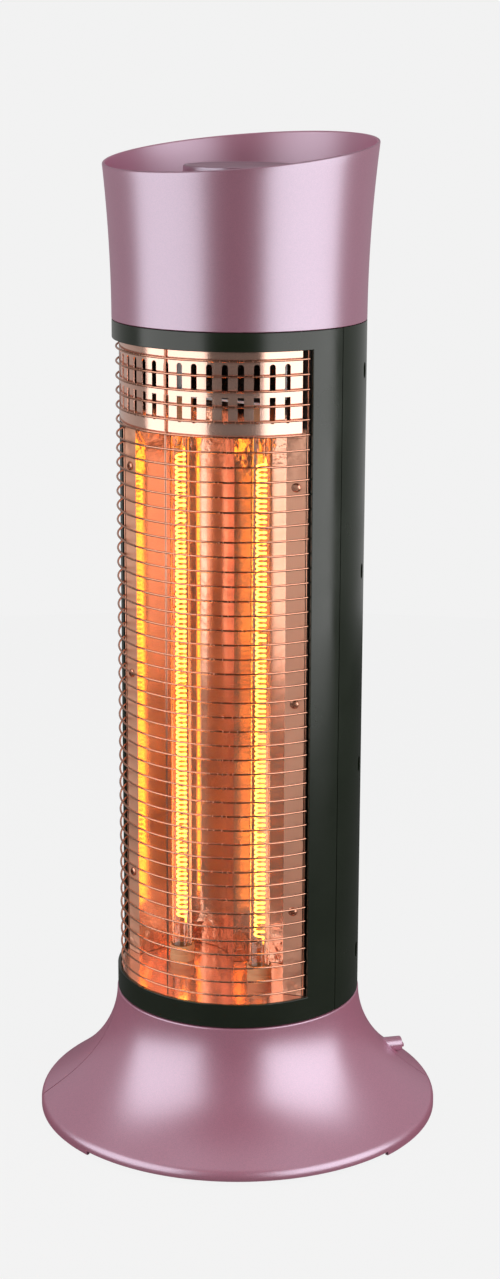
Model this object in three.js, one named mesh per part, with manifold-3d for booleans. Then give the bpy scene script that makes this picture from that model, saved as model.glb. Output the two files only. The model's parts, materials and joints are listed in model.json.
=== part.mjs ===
// A tower-shaped carbon heater on a round, flared base. Millimetres, +Z up.
// The origin is the middle of the base at floor level. The tower's window faces -Y.
// Angles round the tower are measured from -Y towards +X.
import * as THREE from "three";
import { mergeVertices } from "three/addons/utils/BufferGeometryUtils.js";
import Module from "manifold-3d";

const wasm = await Module();
wasm.setup();

const degree = Math.PI / 180;

// Clearances
const fitGap = 0.3; // between pieces that seat on each other
const turnGap = 0.6; // between pieces that turn past each other
const overrunLength = 2; // how far a cutting shape runs past what it cuts

// Base: skin, plate and feet
const baseRadius = 139.8;
const baseHeight = 88;
const neckRadius = 85.5;
const skinThickness = 2.4;
const skirtBottomHeight = 0.6;
const skirtTopHeight = 4.5;
const rimRollRadius = 3;
const neckTurnShare = 0.79; // the neck arc's share of the turn it would have with no cone below it
const neckFlangeInnerRadius = 68;
const notchHeight = 2.5;
const notchHalfAngle = 47 * degree;
const baseTurn = 36 * degree; // the base's front, seen from the tower's front
const coverTurn = 6 * degree; // the skin's split, turned from the base's sides
const plateBottomHeight = 3.5;
const plateThickness = 2;
const plateGap = 0.5; // to the skin
const footRadius = 9;
const footInsetWidth = 27.8; // of the feet's circle, from the rim
const footCount = 4;
const footTurn = 45 * degree;

// Base: chassis, ballast and swing drive
const deckThickness = 3;
const deckSinkHeight = 9; // of the deck, below the skin's top
const columnRadius = 69;
const columnThickness = 3;
const columnFootWidth = 4;
const linkBayHeight = 19.5; // from the shelf's top to the deck's top
const serviceWidth = 40;
const serviceHeight = 9;
const ballastGap = 1; // to the column's foot and to the tip-over switch
const ballastHeight = 8;
const bearingInnerRadius = 50;
const bearingOuterRadius = 58;
const turntableRadius = 64;
const turntableThickness = 3;
const hubRadius = 45;
const spindleRadius = 11;
const spindleThickness = 2.5;
const spindleSinkHeight = 9; // below the deck's top
const rockerRadius = 17;
const rockerHeight = 5;
const rockerArmLength = 18.7;
const swingHalfAngle = 40 * degree;
const rockerTurn = 90 * degree; // the rocker's arm in mid-swing, from the base's front
const rockerWidth = 8;
const pinRadius = 2;
const motorDistance = 40;
const motorRadius = 22;
const motorHeight = 14.2;
const motorShaftRadius = 2.5;
const motorShaftDepth = 5;
const crankRadius = 15;
const crankThickness = 3;
const linkThickness = 3;
const linkWidth = 8;
const linkLiftGap = 1;
const pinHeadHeight = 2;

// Base: swing knob, its switch, the tip-over switch and the cord gland
const knobAngle = 103 * degree;
const knobRadius = 5.3;
const knobHeight = 29.5;
const knobReachLength = 12.8; // outside the skin
const knobLength = 20.5;
const knobTravelLength = 2.5;
const knobRidgeWidth = 2.4;
const knobRidgeDepth = 1.2;
const swingSwitchWidth = 14;
const swingSwitchDepth = 12;
const swingSwitchRiseHeight = 5.5; // above the knob's axis
const tipAngle = -90 * degree;
const tipSwitchWidth = 16;
const tipSwitchDepth = 14;
const tipSwitchHeight = 12;
const tipSwitchGap = 2.9; // to the skin
const tipPlungerRadius = 3;
const tipPlungerLength = 5.5;
const tipBoreDepth = 10;
const glandAngle = 180 * degree;
const glandHeight = 17;
const glandRadius = 7;
const glandBoreRadius = 4;
const glandFlangeWidth = 2;
const glandFlangeThickness = 2;
const glandFlangeGap = 2.7; // between the flange inside and the skin
const glandReachLength = 4.9; // outside the skin

// Tower tube
const tubeRadius = 84.5;
const tubeThickness = 2.2;
const tubeHeight = 468.1;
const seamHalfAngle = 88 * degree;
const windowHalfAngle = 70 * degree;
const sillHeight = 16.4;
const lintelHeight = 12.2;
const endPlateThickness = 3;
const upperPlateDropHeight = 3.7;
const wireHoleRadius = 9;
const wellAngle = 113 * degree;
const wellCount = 4;
const wellPitchHeight = 135;
const wellLowestHeight = 31.4;
const wellWidth = 6.4;
const wellHeight = 10.5;
const wellWallThickness = 2.8;
const wellFloorThickness = 1.9;
const wellDepth = 7.1;
const railWidth = 12;
const railThickness = 1.5;
const railOuterRadius = 73.5;
const screwRadius = 1.4;
const screwHeadRadius = 2.7;
const screwHeadHeight = 1.7;
const screwLength = 8;

// Grille
const grilleWireWidth = 1.4;
const grilleRadius = 83.6;
const grilleWeldDepth = 0.3;
const grilleRows = 45;
const grilleEndGap = 5.2;
const grilleSides = 20; // of a whole turn

// Reflector, shroud and deck of the heating chamber
const sheetThickness = 0.8;
const lampSideDistance = 33.5; // of each lamp from the middle
const lampForwardDistance = 21;
const flangeOuterWidth = 75.5;
const flangeOuterDepth = 27;
const flangeInnerWidth = 62;
const flangeInnerDepth = 33;
const troughBackDepth = 12;
const troughMiddleWidth = 33;
const ridgeForwardDepth = 5;
const outerSidePower = 2.6;
const innerSidePower = 2;
const reflectorTopGap = 4.7;
const shroudRadius = 80.7;
const shroudHalfAngle = 66.5 * degree;
const shroudDropHeight = 54.5;
const slotColumns = 17;
const slotPitch = 7.35 * degree;
const slotWidth = 4;
const slotHeight = 17;
const slotLowerHeight = 8;
const slotBetweenGap = 4.2;
const deckBackDepth = 14;

// Lamps
const lampRadius = 7;
const lampThickness = 1.2;
const ceramicRadius = 8.5;
const ceramicLength = 20;
const ceramicFloorThickness = 6;
const leadHoleRadius = 0.8;
const lowerCeramicHeight = 7.4;
const upperCeramicDropHeight = 50.7;
const bracketHalfWidth = 48;
const bracketFrontDepth = 34;
const bracketBackDepth = 8;
const bracketThickness = 1.5;
const bracketLegWidth = 8;
const bracketLegDistance = 44;
const filamentRadius = 3.1;
const filamentWireRadius = 0.45;
const filamentEndGap = 21; // between a ceramic cap and the first curl
const filamentCurls = 18;
const curlSteps = 8;
const wireSides = 5;
const leastSelfGap = 0.4;

// Small electrical pieces
const cutoutRadius = 8;
const cutoutThickness = 6;
const cutoutDropHeight = 137;
const terminalWidth = 40;
const terminalDepth = 16;
const terminalHeight = 14;
const terminalBackDistance = 45;

// Cap, control deck and dial
const flareHeight = 118; // height over which the flare is measured
const flareWidth = 7.2;
const cupThickness = 2;
const rimRiseHeight = 108.6; // of the rim's plane on the axis, above the tube
const rimTilt = 6.4 * degree;
const rimTurn = -10 * degree; // of the highest point, from the back
const deckDropHeight = 37;
const controlThickness = 3;
const controlColumnRadius = 60;
const controlColumnThickness = 3;
const dialRadius = 37;
const dialRiseHeight = 28.2; // of its top above the control deck
const dialThickness = 2.5;
const dialEdgeWidth = 1.2;
const dialHubRadius = 7;
const dialGrooveWidth = 3;
const dialGrooveDepth = 1;
const dialGrooveLength = 22;
const shaftRadius = 3;
const shaftCoverThickness = 11.5;
const shaftDepth = 15.7; // below the control deck
const switchWidth = 28;
const switchHeight = 21;

// How finely round shapes are divided
const roundSides = 36;
const midSides = 24;
const smallSides = 12;
const tinySides = 6;

// Worked-out heights and radii
const plateTop = plateBottomHeight + plateThickness;
const footCircleRadius = baseRadius - footInsetWidth;
const chassisBottom = plateTop + fitGap;
const deckTop = baseHeight - deckSinkHeight;
const deckBottom = deckTop - deckThickness;
const shelfTop = deckTop - linkBayHeight;
const bearingTop = deckTop + fitGap + deckThickness + turnGap;
const turntableBottom = bearingTop + fitGap;
const towerBottom = baseHeight + turnGap;
const hubTop = towerBottom - fitGap;
const towerTop = towerBottom + tubeHeight;
const tubeBore = tubeRadius - tubeThickness;
const windowBottom = towerBottom + sillHeight;
const windowTop = towerTop - lintelHeight;
const endPlateRadius = tubeBore - fitGap;
const lowerPlateTop = towerBottom + endPlateThickness;
const upperPlateTop = towerTop - upperPlateDropHeight;
const upperPlateBottom = upperPlateTop - endPlateThickness;
const seamAngle = seamHalfAngle + fitGap / tubeRadius;
const chamberDeckTop = windowBottom - fitGap;
const reflectorBottom = chamberDeckTop + fitGap;
const reflectorTop = upperPlateBottom - reflectorTopGap;
const lowerCapBottom = towerBottom + lowerCeramicHeight;
const upperCapTop = towerTop - upperCeramicDropHeight;
const lampBottom = lowerCapBottom + ceramicFloorThickness + fitGap;
const lampTop = upperCapTop - ceramicFloorThickness - fitGap;
const filamentLow = lowerCapBottom + ceramicLength + filamentEndGap;
const filamentHigh = upperCapTop - ceramicLength - filamentEndGap;
const cupBottom = towerTop + fitGap;
const controlTop = towerTop + rimRiseHeight - deckDropHeight;
const controlBottom = controlTop - controlThickness;
const dialTop = controlTop + dialRiseHeight;
const shaftTop = dialTop - shaftCoverThickness;
const shaftBottom = controlBottom - fitGap - shaftDepth;
const innerColumn = columnRadius - columnThickness;
const shelfBottom = shelfTop - deckThickness;
const crankBottom = shelfTop + turnGap;
const crankTop = crankBottom + crankThickness;
const linkBottom = crankTop + linkLiftGap;
const linkTop = linkBottom + linkThickness;
const crankPinTop = linkTop + pinHeadHeight;
const rockerTop = deckBottom - fitGap;
const rockerBottom = rockerTop - rockerHeight;
const ballastTop = chassisBottom + ballastHeight;

// Finishes
const finishes = {
  pink: { color: 0xb98aa6, roughness: 0.3, metalness: 0.7 },
  black: { color: 0x1f221f, roughness: 0.18, metalness: 0.1 },
  copper: { color: 0xd98a5c, roughness: 0.12, metalness: 1 },
  wire: { color: 0xc98f76, roughness: 0.2, metalness: 1 },
  steel: { color: 0x9a9da0, roughness: 0.4, metalness: 0.9 },
  iron: { color: 0x4a4c4f, roughness: 0.6, metalness: 0.8 },
  rubber: { color: 0x1a1a1a, roughness: 0.9, metalness: 0 },
  plastic: { color: 0x2b2b2d, roughness: 0.5, metalness: 0 },
  nylon: { color: 0xd9d6cc, roughness: 0.5, metalness: 0 },
  ceramic: { color: 0xe9e4d8, roughness: 0.6, metalness: 0 },
  glass: { color: 0xf4e3d2, roughness: 0.05, metalness: 0, transparent: true, opacity: 0.35 },
  glow: { color: 0xffc94a, roughness: 0.6, metalness: 0, emissive: 0xffa01e },
};

// Solids from geometry, and back
function solid(geometry) {
  geometry.deleteAttribute("normal");
  geometry.deleteAttribute("uv");
  const merged = mergeVertices(geometry);
  return new wasm.Manifold(
    new wasm.Mesh({
      numProp: 3,
      vertProperties: merged.attributes.position.array,
      triVerts: new Uint32Array(merged.index.array),
    }),
  );
}

function geometryOf(body) {
  const mesh = body.getMesh();
  return new THREE.BufferGeometry()
    .setAttribute("position", new THREE.BufferAttribute(mesh.vertProperties, 3))
    .setIndex(new THREE.BufferAttribute(mesh.triVerts, 1));
}

function join(bodies) {
  return bodies.reduce((all, body) => all.add(body));
}

function addPiece(group, name, finish, body) {
  const mesh = new THREE.Mesh(geometryOf(body), new THREE.MeshStandardMaterial(finishes[finish]));
  mesh.name = name;
  group.add(mesh);
  return mesh;
}

// Basic shapes
function polar(radius, angle) {
  return [radius * Math.sin(angle), -radius * Math.cos(angle)];
}

function turned(profile, sides = roundSides) {
  const points = profile.map(([radius, height]) => new THREE.Vector2(radius, height));
  if (profile[0][0] > 0) points.push(points[0].clone());
  return solid(new THREE.LatheGeometry(points, sides).rotateX(Math.PI / 2));
}

function ring(inner, outer, low, high, sides = roundSides) {
  return turned(
    [
      [inner, low],
      [outer, low],
      [outer, high],
      [inner, high],
    ],
    sides,
  );
}

function post(radius, low, high, [x, y] = [0, 0], sides = smallSides) {
  const cylinder = new THREE.CylinderGeometry(radius, radius, high - low, sides);
  return solid(cylinder.rotateX(Math.PI / 2).translate(x, y, (low + high) / 2));
}

function block(xLow, xHigh, yLow, yHigh, low, high) {
  const box = new THREE.BoxGeometry(xHigh - xLow, yHigh - yLow, high - low);
  return box.translate((xLow + xHigh) / 2, (yLow + yHigh) / 2, (low + high) / 2);
}

// A block in front of the axis, from one radius to another, turned to an angle.
function radialBlock(width, inner, outer, low, high, angle) {
  return solid(block(-width / 2, width / 2, -outer, -inner, low, high).rotateZ(angle));
}

// A round bar that points away from the axis.
function radialPost(radius, inner, outer, height, angle, sides = smallSides) {
  const cylinder = new THREE.CylinderGeometry(radius, radius, outer - inner, sides);
  return solid(cylinder.translate(0, -(inner + outer) / 2, height).rotateZ(angle));
}

// An upright hole that runs past both faces of what it cuts.
function hole(radius, low, high, place, sides) {
  return post(radius, low - overrunLength, high + overrunLength, place, sides);
}

// The same for a hole that points away from the axis.
function radialHole(radius, inner, outer, height, angle, sides) {
  return radialPost(radius, inner - overrunLength, outer + overrunLength, height, angle, sides);
}

function prism(outline, low, high) {
  const shape = new THREE.Shape(outline.map(([x, y]) => new THREE.Vector2(x, y)));
  const body = new THREE.ExtrudeGeometry(shape, { depth: high - low, bevelEnabled: false });
  return solid(body.translate(0, 0, low));
}

// A level outline, as width and height, pushed away from the axis and turned to an angle.
function radialPrism(outline, inner, outer, angle) {
  const shape = new THREE.Shape(outline.map(([x, z]) => new THREE.Vector2(x, z)));
  const body = new THREE.ExtrudeGeometry(shape, { depth: outer - inner, bevelEnabled: false });
  return solid(body.rotateX(Math.PI / 2).translate(0, -inner, 0).rotateZ(angle));
}

// An upright opening's outline with its ends drawn in: each end has its own share of rounding.
function openingOutline(width, low, high, lowShare, highShare) {
  const side = width / 2;
  const tip = side / 2;
  const lowShoulder = [side, low + side * lowShare];
  const highShoulder = [side, high - side * highShare];
  const lowTip = lowShare > 0 ? [[tip, low]] : [];
  const highTip = highShare > 0 ? [[tip, high]] : [];
  const right = [...lowTip, lowShoulder, highShoulder, ...highTip];
  const left = right.map(([x, z]) => [-x, z]).reverse();
  return [...right, ...left];
}

// A curved wall between two angles.
function arcWall(inner, outer, from, to, low, high, spans) {
  const angles = Array.from({ length: spans + 1 }, (_, i) => from + ((to - from) * i) / spans);
  const outside = angles.map((angle) => polar(outer, angle));
  const inside = angles.map((angle) => polar(inner, angle)).reverse();
  return prism([...outside, ...inside], low, high);
}

// The base's outline, moved inwards by a wall. The cone touches the rim's roll and the neck's arc.
const rollCentreX = baseRadius - rimRollRadius;
const flareRun = rollCentreX - neckRadius;
const flareRise = baseHeight - skirtTopHeight;
const flareTurn = 2 * Math.atan2(flareRun, flareRise) * neckTurnShare;
const neckArc =
  (flareRise * Math.sin(flareTurn) - flareRun * Math.cos(flareTurn) - rimRollRadius) /
  (1 - Math.cos(flareTurn));

function neckPoint(inset, turn) {
  const radius = neckArc + inset;
  return [
    neckRadius + neckArc - radius * Math.cos(turn),
    baseHeight - radius * Math.sin(turn),
  ];
}

// The skin's outer radius at a height on the neck's arc or on the cone.
function skinRadius(height) {
  const turn = Math.asin(Math.min((baseHeight - height) / neckArc, Math.sin(flareTurn)));
  const [radius, reached] = neckPoint(0, turn);
  return radius + (reached - height) * Math.tan(flareTurn);
}

// The skin's inner radius at a height on the cone.
function skinBore(height) {
  return skinRadius(height) - skinThickness / Math.cos(flareTurn);
}

function rollPoint(inset, turn) {
  const radius = rimRollRadius - inset;
  return [rollCentreX + radius * Math.cos(turn), skirtTopHeight + radius * Math.sin(turn)];
}

function baseSkin() {
  const neckSteps = 5;
  const innerSteps = 2;
  const rollSteps = 1;
  const outline = [
    [baseRadius - skinThickness, skirtBottomHeight],
    [baseRadius, skirtBottomHeight],
  ];
  for (let i = 0; i <= rollSteps; i++) outline.push(rollPoint(0, (flareTurn * i) / rollSteps));
  for (let i = neckSteps; i >= 0; i--) outline.push(neckPoint(0, (flareTurn * i) / neckSteps));
  outline.push([neckFlangeInnerRadius, baseHeight], [neckFlangeInnerRadius, baseHeight - skinThickness]);
  const start = Math.asin(skinThickness / (neckArc + skinThickness));
  for (let i = 0; i <= innerSteps; i++) {
    outline.push(neckPoint(skinThickness, start + ((flareTurn - start) * i) / innerSteps));
  }
  outline.push(rollPoint(skinThickness, flareTurn), rollPoint(skinThickness, 0));
  return turned(outline);
}

// One side of the skin's split: the front for side -1, the back for side 1.
function skinHalf(side) {
  const reach = baseRadius + overrunLength;
  const edges = [(side * fitGap) / 2, side * reach].sort((a, b) => a - b);
  const half = block(-reach, reach, ...edges, -overrunLength, baseHeight + overrunLength);
  return solid(half.rotateZ(coverTurn));
}

// What stands inside the skin. The ballast lies between the chassis and the pieces near the rim.
const plateRadius = skinBore(plateTop) - plateGap;
const knobOuter = skinRadius(knobHeight) + knobReachLength;
const knobInner = knobOuter - knobLength;
const glandOuter = skinRadius(glandHeight) + glandReachLength;
const glandFlangeOuter = skinBore(glandHeight + glandRadius + glandFlangeWidth) - glandFlangeGap;
const glandInner = glandFlangeOuter - glandFlangeThickness;
const tipSwitchTop = chassisBottom + tipSwitchHeight;
const tipReach = skinBore(tipSwitchTop) - tipSwitchGap;
const tipDistance = tipReach - tipSwitchDepth / 2;
const ballastInner = columnRadius + columnFootWidth + ballastGap;
const ballastOuter = Math.min(tipReach - tipSwitchDepth, glandInner) - ballastGap;

function finishedSkin() {
  const notchSpans = 10;
  const notch = arcWall(
    baseRadius - skinThickness - overrunLength,
    baseRadius + overrunLength,
    -notchHalfAngle,
    notchHalfAngle,
    skirtBottomHeight - overrunLength,
    skirtBottomHeight + notchHeight,
    notchSpans,
  );
  const knobHole = radialHole(knobRadius + fitGap, knobInner, knobOuter, knobHeight, knobAngle);
  const glandHole = radialHole(glandRadius + fitGap, glandInner, glandOuter, glandHeight, glandAngle);
  return baseSkin().subtract(join([notch, knobHole, glandHole]));
}

function basePlate() {
  const plate = post(plateRadius, plateBottomHeight, plateTop, [0, 0], roundSides);
  const place = polar(tipDistance, tipAngle);
  return plate.subtract(hole(tipPlungerRadius + fitGap, plateBottomHeight, plateTop, place));
}

// The chassis is a column on a foot, a shelf inside it for the motor, and a deck on top.
function chassisColumn() {
  const column = ring(innerColumn, columnRadius, chassisBottom, deckBottom - fitGap, midSides);
  const footRing = columnRadius + columnFootWidth;
  const foot = ring(innerColumn, footRing, chassisBottom, chassisBottom + columnThickness, midSides);
  const service = radialBlock(
    serviceWidth,
    innerColumn - overrunLength,
    columnRadius + overrunLength,
    crankTop,
    crankTop + serviceHeight,
    0,
  );
  return column.add(foot).subtract(service);
}

function chassisDeck() {
  const disc = post(neckRadius - skinThickness - fitGap, deckBottom, deckTop, [0, 0], roundSides);
  return disc.subtract(hole(spindleRadius + turnGap, deckBottom, deckTop, [0, 0], midSides));
}

function motorShelf() {
  const disc = post(innerColumn - fitGap, shelfBottom, shelfTop, [0, 0], midSides);
  const bore = hole(spindleRadius + turnGap, shelfBottom, shelfTop, [0, 0], midSides);
  const shaftHole = hole(motorShaftRadius + turnGap, shelfBottom, shelfTop, motorPlace);
  return disc.subtract(join([bore, shaftHole]));
}

// The turntable carries the tower on the bearing ring.
function turntable() {
  return turned([
    [spindleRadius + fitGap, turntableBottom],
    [turntableRadius, turntableBottom],
    [turntableRadius, turntableBottom + turntableThickness],
    [hubRadius, turntableBottom + turntableThickness],
    [hubRadius, hubTop],
    [spindleRadius + fitGap, hubTop],
  ], midSides);
}

// The swing drive: where the rocker's peg and the crank's pin are at rest.
const motorPlace = [0, motorDistance];
const pegPlace = polar(rockerArmLength, rockerTurn - baseTurn);
const [pegFar, pegNear] = [-swingHalfAngle, swingHalfAngle].map((swing) => {
  const [x, y] = polar(rockerArmLength, rockerTurn + swing);
  return Math.hypot(x - motorPlace[0], y - motorPlace[1]);
});
const crankThrow = (pegFar - pegNear) / 2;
const linkLength = (pegFar + pegNear) / 2;

function circleMeet([ax, ay], aRadius, [bx, by], bRadius) {
  const dx = bx - ax;
  const dy = by - ay;
  const apart = Math.hypot(dx, dy);
  const along = (apart * apart + aRadius * aRadius - bRadius * bRadius) / (apart + apart);
  const across = Math.sqrt(Math.max(aRadius * aRadius - along * along, 0));
  return [ax + (dx * along - dy * across) / apart, ay + (dy * along + dx * across) / apart];
}

const crankPin = circleMeet(motorPlace, crankThrow, pegPlace, linkLength);

function bar([ax, ay], [bx, by], width, low, high) {
  const length = Math.hypot(bx - ax, by - ay);
  const middle = block(-length / 2, length / 2, -width / 2, width / 2, low, high);
  middle.rotateZ(Math.atan2(by - ay, bx - ax)).translate((ax + bx) / 2, (ay + by) / 2, 0);
  const ends = [[ax, ay], [bx, by]].map((place) => post(width / 2, low, high, place));
  return join([solid(middle), ...ends]);
}

function swingLink() {
  const holes = [crankPin, pegPlace].map((place) =>
    hole(pinRadius + fitGap, linkBottom, linkTop, place),
  );
  return bar(crankPin, pegPlace, linkWidth, linkBottom, linkTop).subtract(join(holes));
}

function swingCrank() {
  const disc = post(crankRadius, crankBottom, crankTop, motorPlace, midSides);
  const shaft = post(
    motorShaftRadius,
    shelfBottom - fitGap - motorShaftDepth,
    crankBottom + crankThickness / 2,
    motorPlace,
  );
  const pin = post(pinRadius, crankBottom + crankThickness / 2, crankPinTop, crankPin);
  return join([disc, shaft, pin]);
}

function swingMotor() {
  const top = shelfBottom - fitGap;
  const can = post(motorRadius, top - motorHeight, top, motorPlace, midSides);
  const floor = top - motorShaftDepth - fitGap;
  return can.subtract(post(motorShaftRadius + fitGap, floor, top + overrunLength, motorPlace));
}

// The rocker arm is clamped to the spindle in the tower's own frame, so it is turned back with it.
function spindleRocker() {
  const collar = post(rockerRadius, rockerBottom, rockerTop, [0, 0], midSides);
  const arm = bar([0, 0], pegPlace, rockerWidth, rockerBottom, rockerTop);
  const peg = post(pinRadius, linkTop + fitGap, rockerBottom + rockerHeight / 2, pegPlace);
  const bore = hole(spindleRadius + fitGap, rockerBottom, rockerTop, [0, 0], midSides);
  return join([collar, arm, peg]).subtract(bore);
}

function swingKnob() {
  const stem = radialPost(knobRadius, knobInner, knobOuter - knobRidgeDepth, knobHeight, knobAngle);
  const ridge = radialBlock(
    knobRadius + knobRadius - knobRidgeWidth,
    knobOuter - knobRidgeDepth - overrunLength,
    knobOuter,
    knobHeight - knobRidgeWidth / 2,
    knobHeight + knobRidgeWidth / 2,
    knobAngle,
  );
  return stem.add(ridge);
}

function swingSwitch() {
  const front = knobInner - knobTravelLength - fitGap;
  return radialBlock(
    swingSwitchWidth,
    front - swingSwitchDepth,
    front,
    ballastTop + fitGap,
    knobHeight + swingSwitchRiseHeight,
    knobAngle,
  );
}

function tipSwitch() {
  const body = radialBlock(
    tipSwitchWidth,
    tipReach - tipSwitchDepth,
    tipReach,
    chassisBottom,
    tipSwitchTop,
    tipAngle,
  );
  const place = polar(tipDistance, tipAngle);
  const boreTop = chassisBottom + tipBoreDepth;
  return body.subtract(post(tipPlungerRadius + fitGap, chassisBottom - overrunLength, boreTop, place));
}

function cordGland() {
  const sleeve = radialPost(glandRadius, glandInner, glandOuter, glandHeight, glandAngle);
  const flangeRadius = glandRadius + glandFlangeWidth;
  const flange = radialPost(flangeRadius, glandInner, glandFlangeOuter, glandHeight, glandAngle);
  const bore = radialHole(glandBoreRadius, glandInner, glandOuter, glandHeight, glandAngle);
  return sleeve.add(flange).subtract(bore);
}

function ballast() {
  return ring(ballastInner, ballastOuter, chassisBottom + fitGap, ballastTop, midSides);
}

function swivelBearing() {
  return ring(bearingInnerRadius, bearingOuterRadius, deckTop + fitGap, bearingTop, midSides);
}

function tipPlunger() {
  const place = polar(tipDistance, tipAngle);
  return post(tipPlungerRadius, fitGap, chassisBottom + tipPlungerLength, place);
}

function buildBase() {
  const base = new THREE.Group();
  base.rotation.z = baseTurn;
  const skin = finishedSkin();
  addPiece(base, "base_shell", "pink", skin.intersect(skinHalf(-1)));
  addPiece(base, "base_rear_cover", "pink", skin.intersect(skinHalf(1)));
  addPiece(base, "base_plate", "plastic", basePlate());
  for (let i = 0; i < footCount; i++) {
    const place = polar(footCircleRadius, footTurn + (2 * Math.PI * i) / footCount);
    addPiece(base, `foot_pad_${i + 1}`, "rubber", post(footRadius, 0, plateBottomHeight - fitGap, place));
  }
  addPiece(base, "base_chassis", "plastic", chassisColumn());
  addPiece(base, "chassis_deck", "plastic", chassisDeck());
  addPiece(base, "motor_shelf", "plastic", motorShelf());
  addPiece(base, "ballast_ring", "iron", ballast());
  addPiece(base, "swivel_bearing", "nylon", swivelBearing());
  addPiece(base, "swing_motor", "steel", swingMotor());
  addPiece(base, "swing_crank", "nylon", swingCrank());
  addPiece(base, "swing_link", "steel", swingLink());
  addPiece(base, "swing_knob", "pink", swingKnob());
  addPiece(base, "swing_switch", "plastic", swingSwitch());
  addPiece(base, "tip_switch", "plastic", tipSwitch());
  addPiece(base, "tip_plunger", "nylon", tipPlunger());
  addPiece(base, "cord_gland", "rubber", cordGland());
  addPiece(base, "spindle_rocker", "steel", spindleRocker());
  return base;
}

// Tower shell
function frontFrame() {
  const spans = 24;
  const windowSpans = 8;
  const wall = arcWall(tubeBore, tubeRadius, -seamHalfAngle, seamHalfAngle, towerBottom, towerTop, spans);
  const opening = arcWall(
    tubeBore - overrunLength,
    tubeRadius + overrunLength,
    -windowHalfAngle,
    windowHalfAngle,
    windowBottom,
    windowTop,
    windowSpans,
  );
  return wall.subtract(opening);
}

function wellHeights() {
  return Array.from({ length: wellCount }, (_, i) => towerBottom + wellLowestHeight + wellPitchHeight * i);
}

function wellPlaces() {
  return [-wellAngle, wellAngle].flatMap((angle) => wellHeights().map((height) => ({ angle, height })));
}

const wellBottom = tubeRadius - wellDepth;
const wellBack = wellBottom - wellFloorThickness;

function rearHousing() {
  const spans = 24;
  const lastAngle = 2 * Math.PI - seamAngle;
  const wall = arcWall(tubeBore, tubeRadius, seamAngle, lastAngle, towerBottom, towerTop, spans);
  const cupWidth = wellWidth + 2 * wellWallThickness;
  const cupOuter = tubeBore + tubeThickness / 2;
  const cups = [];
  const pockets = [];
  for (const { angle, height } of wellPlaces()) {
    const low = height - wellHeight / 2;
    const high = height + wellHeight / 2;
    const outline = openingOutline(wellWidth, low, high, 1, 1);
    const cupLow = low - wellWallThickness;
    cups.push(radialBlock(cupWidth, wellBack, cupOuter, cupLow, high + wellWallThickness, angle));
    pockets.push(radialPrism(outline, wellBottom, tubeRadius + overrunLength, angle));
    pockets.push(radialHole(screwRadius + fitGap, wellBack, wellBottom, height, angle, tinySides));
  }
  return join([wall, ...cups]).subtract(join(pockets));
}

function sideRail(angle) {
  const railInner = railOuterRadius - railThickness;
  const low = lowerPlateTop + fitGap;
  const high = upperPlateBottom - fitGap;
  const strip = radialBlock(railWidth, railInner, railOuterRadius, low, high, angle);
  const holes = wellHeights().map((height) =>
    radialHole(screwRadius + fitGap, railInner, railOuterRadius, height, angle, tinySides),
  );
  return strip.subtract(join(holes));
}

function housingScrew(angle, height) {
  const seat = wellBottom + fitGap;
  const shankOuter = seat + screwHeadHeight / 2;
  const head = radialPost(screwHeadRadius, seat, seat + screwHeadHeight, height, angle, tinySides);
  const shank = radialPost(screwRadius, seat - screwLength, shankOuter, height, angle, tinySides);
  return head.add(shank);
}

function endPlate(low) {
  const high = low + endPlateThickness;
  const plate = post(endPlateRadius, low, high, [0, 0], roundSides);
  return plate.subtract(hole(wireHoleRadius, low, high));
}

// Wires of the grille: level arcs with a sharp front edge, and uprights welded behind them.
function grille() {
  const inner = grilleRadius - grilleWireWidth;
  const halfWire = grilleWireWidth / 2;
  const halfAngle = windowHalfAngle - fitGap / grilleRadius;
  const uprightAngle = halfAngle - halfWire / inner;
  const first = windowBottom + grilleEndGap + halfWire;
  const last = windowTop - grilleEndGap - halfWire;
  const hoops = Array.from({ length: grilleRows }, (_, i) => {
    const height = first + ((last - first) * i) / (grilleRows - 1);
    const profile = [
      [inner, height - halfWire],
      [grilleRadius, height],
      [inner, height + halfWire],
    ];
    return turned(profile, grilleSides);
  });
  const far = 2 * grilleRadius;
  const back = [[0, 0], polar(far, halfAngle), [far, far], [-far, far], polar(far, -halfAngle)];
  const behind = prism(back, towerBottom, towerTop);
  const outer = inner + grilleWeldDepth;
  const ends = [windowBottom + fitGap, windowTop - fitGap];
  const uprights = [-uprightAngle, 0, uprightAngle].map((angle) =>
    radialBlock(grilleWireWidth, outer - grilleWireWidth, outer, ...ends, angle),
  );
  return join([join(hoops).subtract(behind), ...uprights]);
}

// The reflector is one bent sheet: flange, trough, ridge, trough, flange.
function reflectorLine() {
  const outerWidth = flangeInnerWidth - troughMiddleWidth;
  const outerDepth = troughBackDepth + flangeInnerDepth;
  const innerDepth = troughBackDepth + ridgeForwardDepth;
  const steps = 7;
  const half = [[flangeOuterWidth, -flangeOuterDepth]];
  for (let i = steps; i > 0; i--) {
    const share = i / steps;
    const forward = outerDepth * share ** outerSidePower;
    half.push([troughMiddleWidth + outerWidth * share, troughBackDepth - forward]);
  }
  for (let i = 0; i < steps; i++) {
    const share = i / steps;
    const forward = innerDepth * share ** innerSidePower;
    half.push([troughMiddleWidth * (1 - share), troughBackDepth - forward]);
  }
  const mirrored = half.map(([x, y]) => [-x, y]).reverse();
  return [...half, [0, -ridgeForwardDepth], ...mirrored];
}

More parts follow.
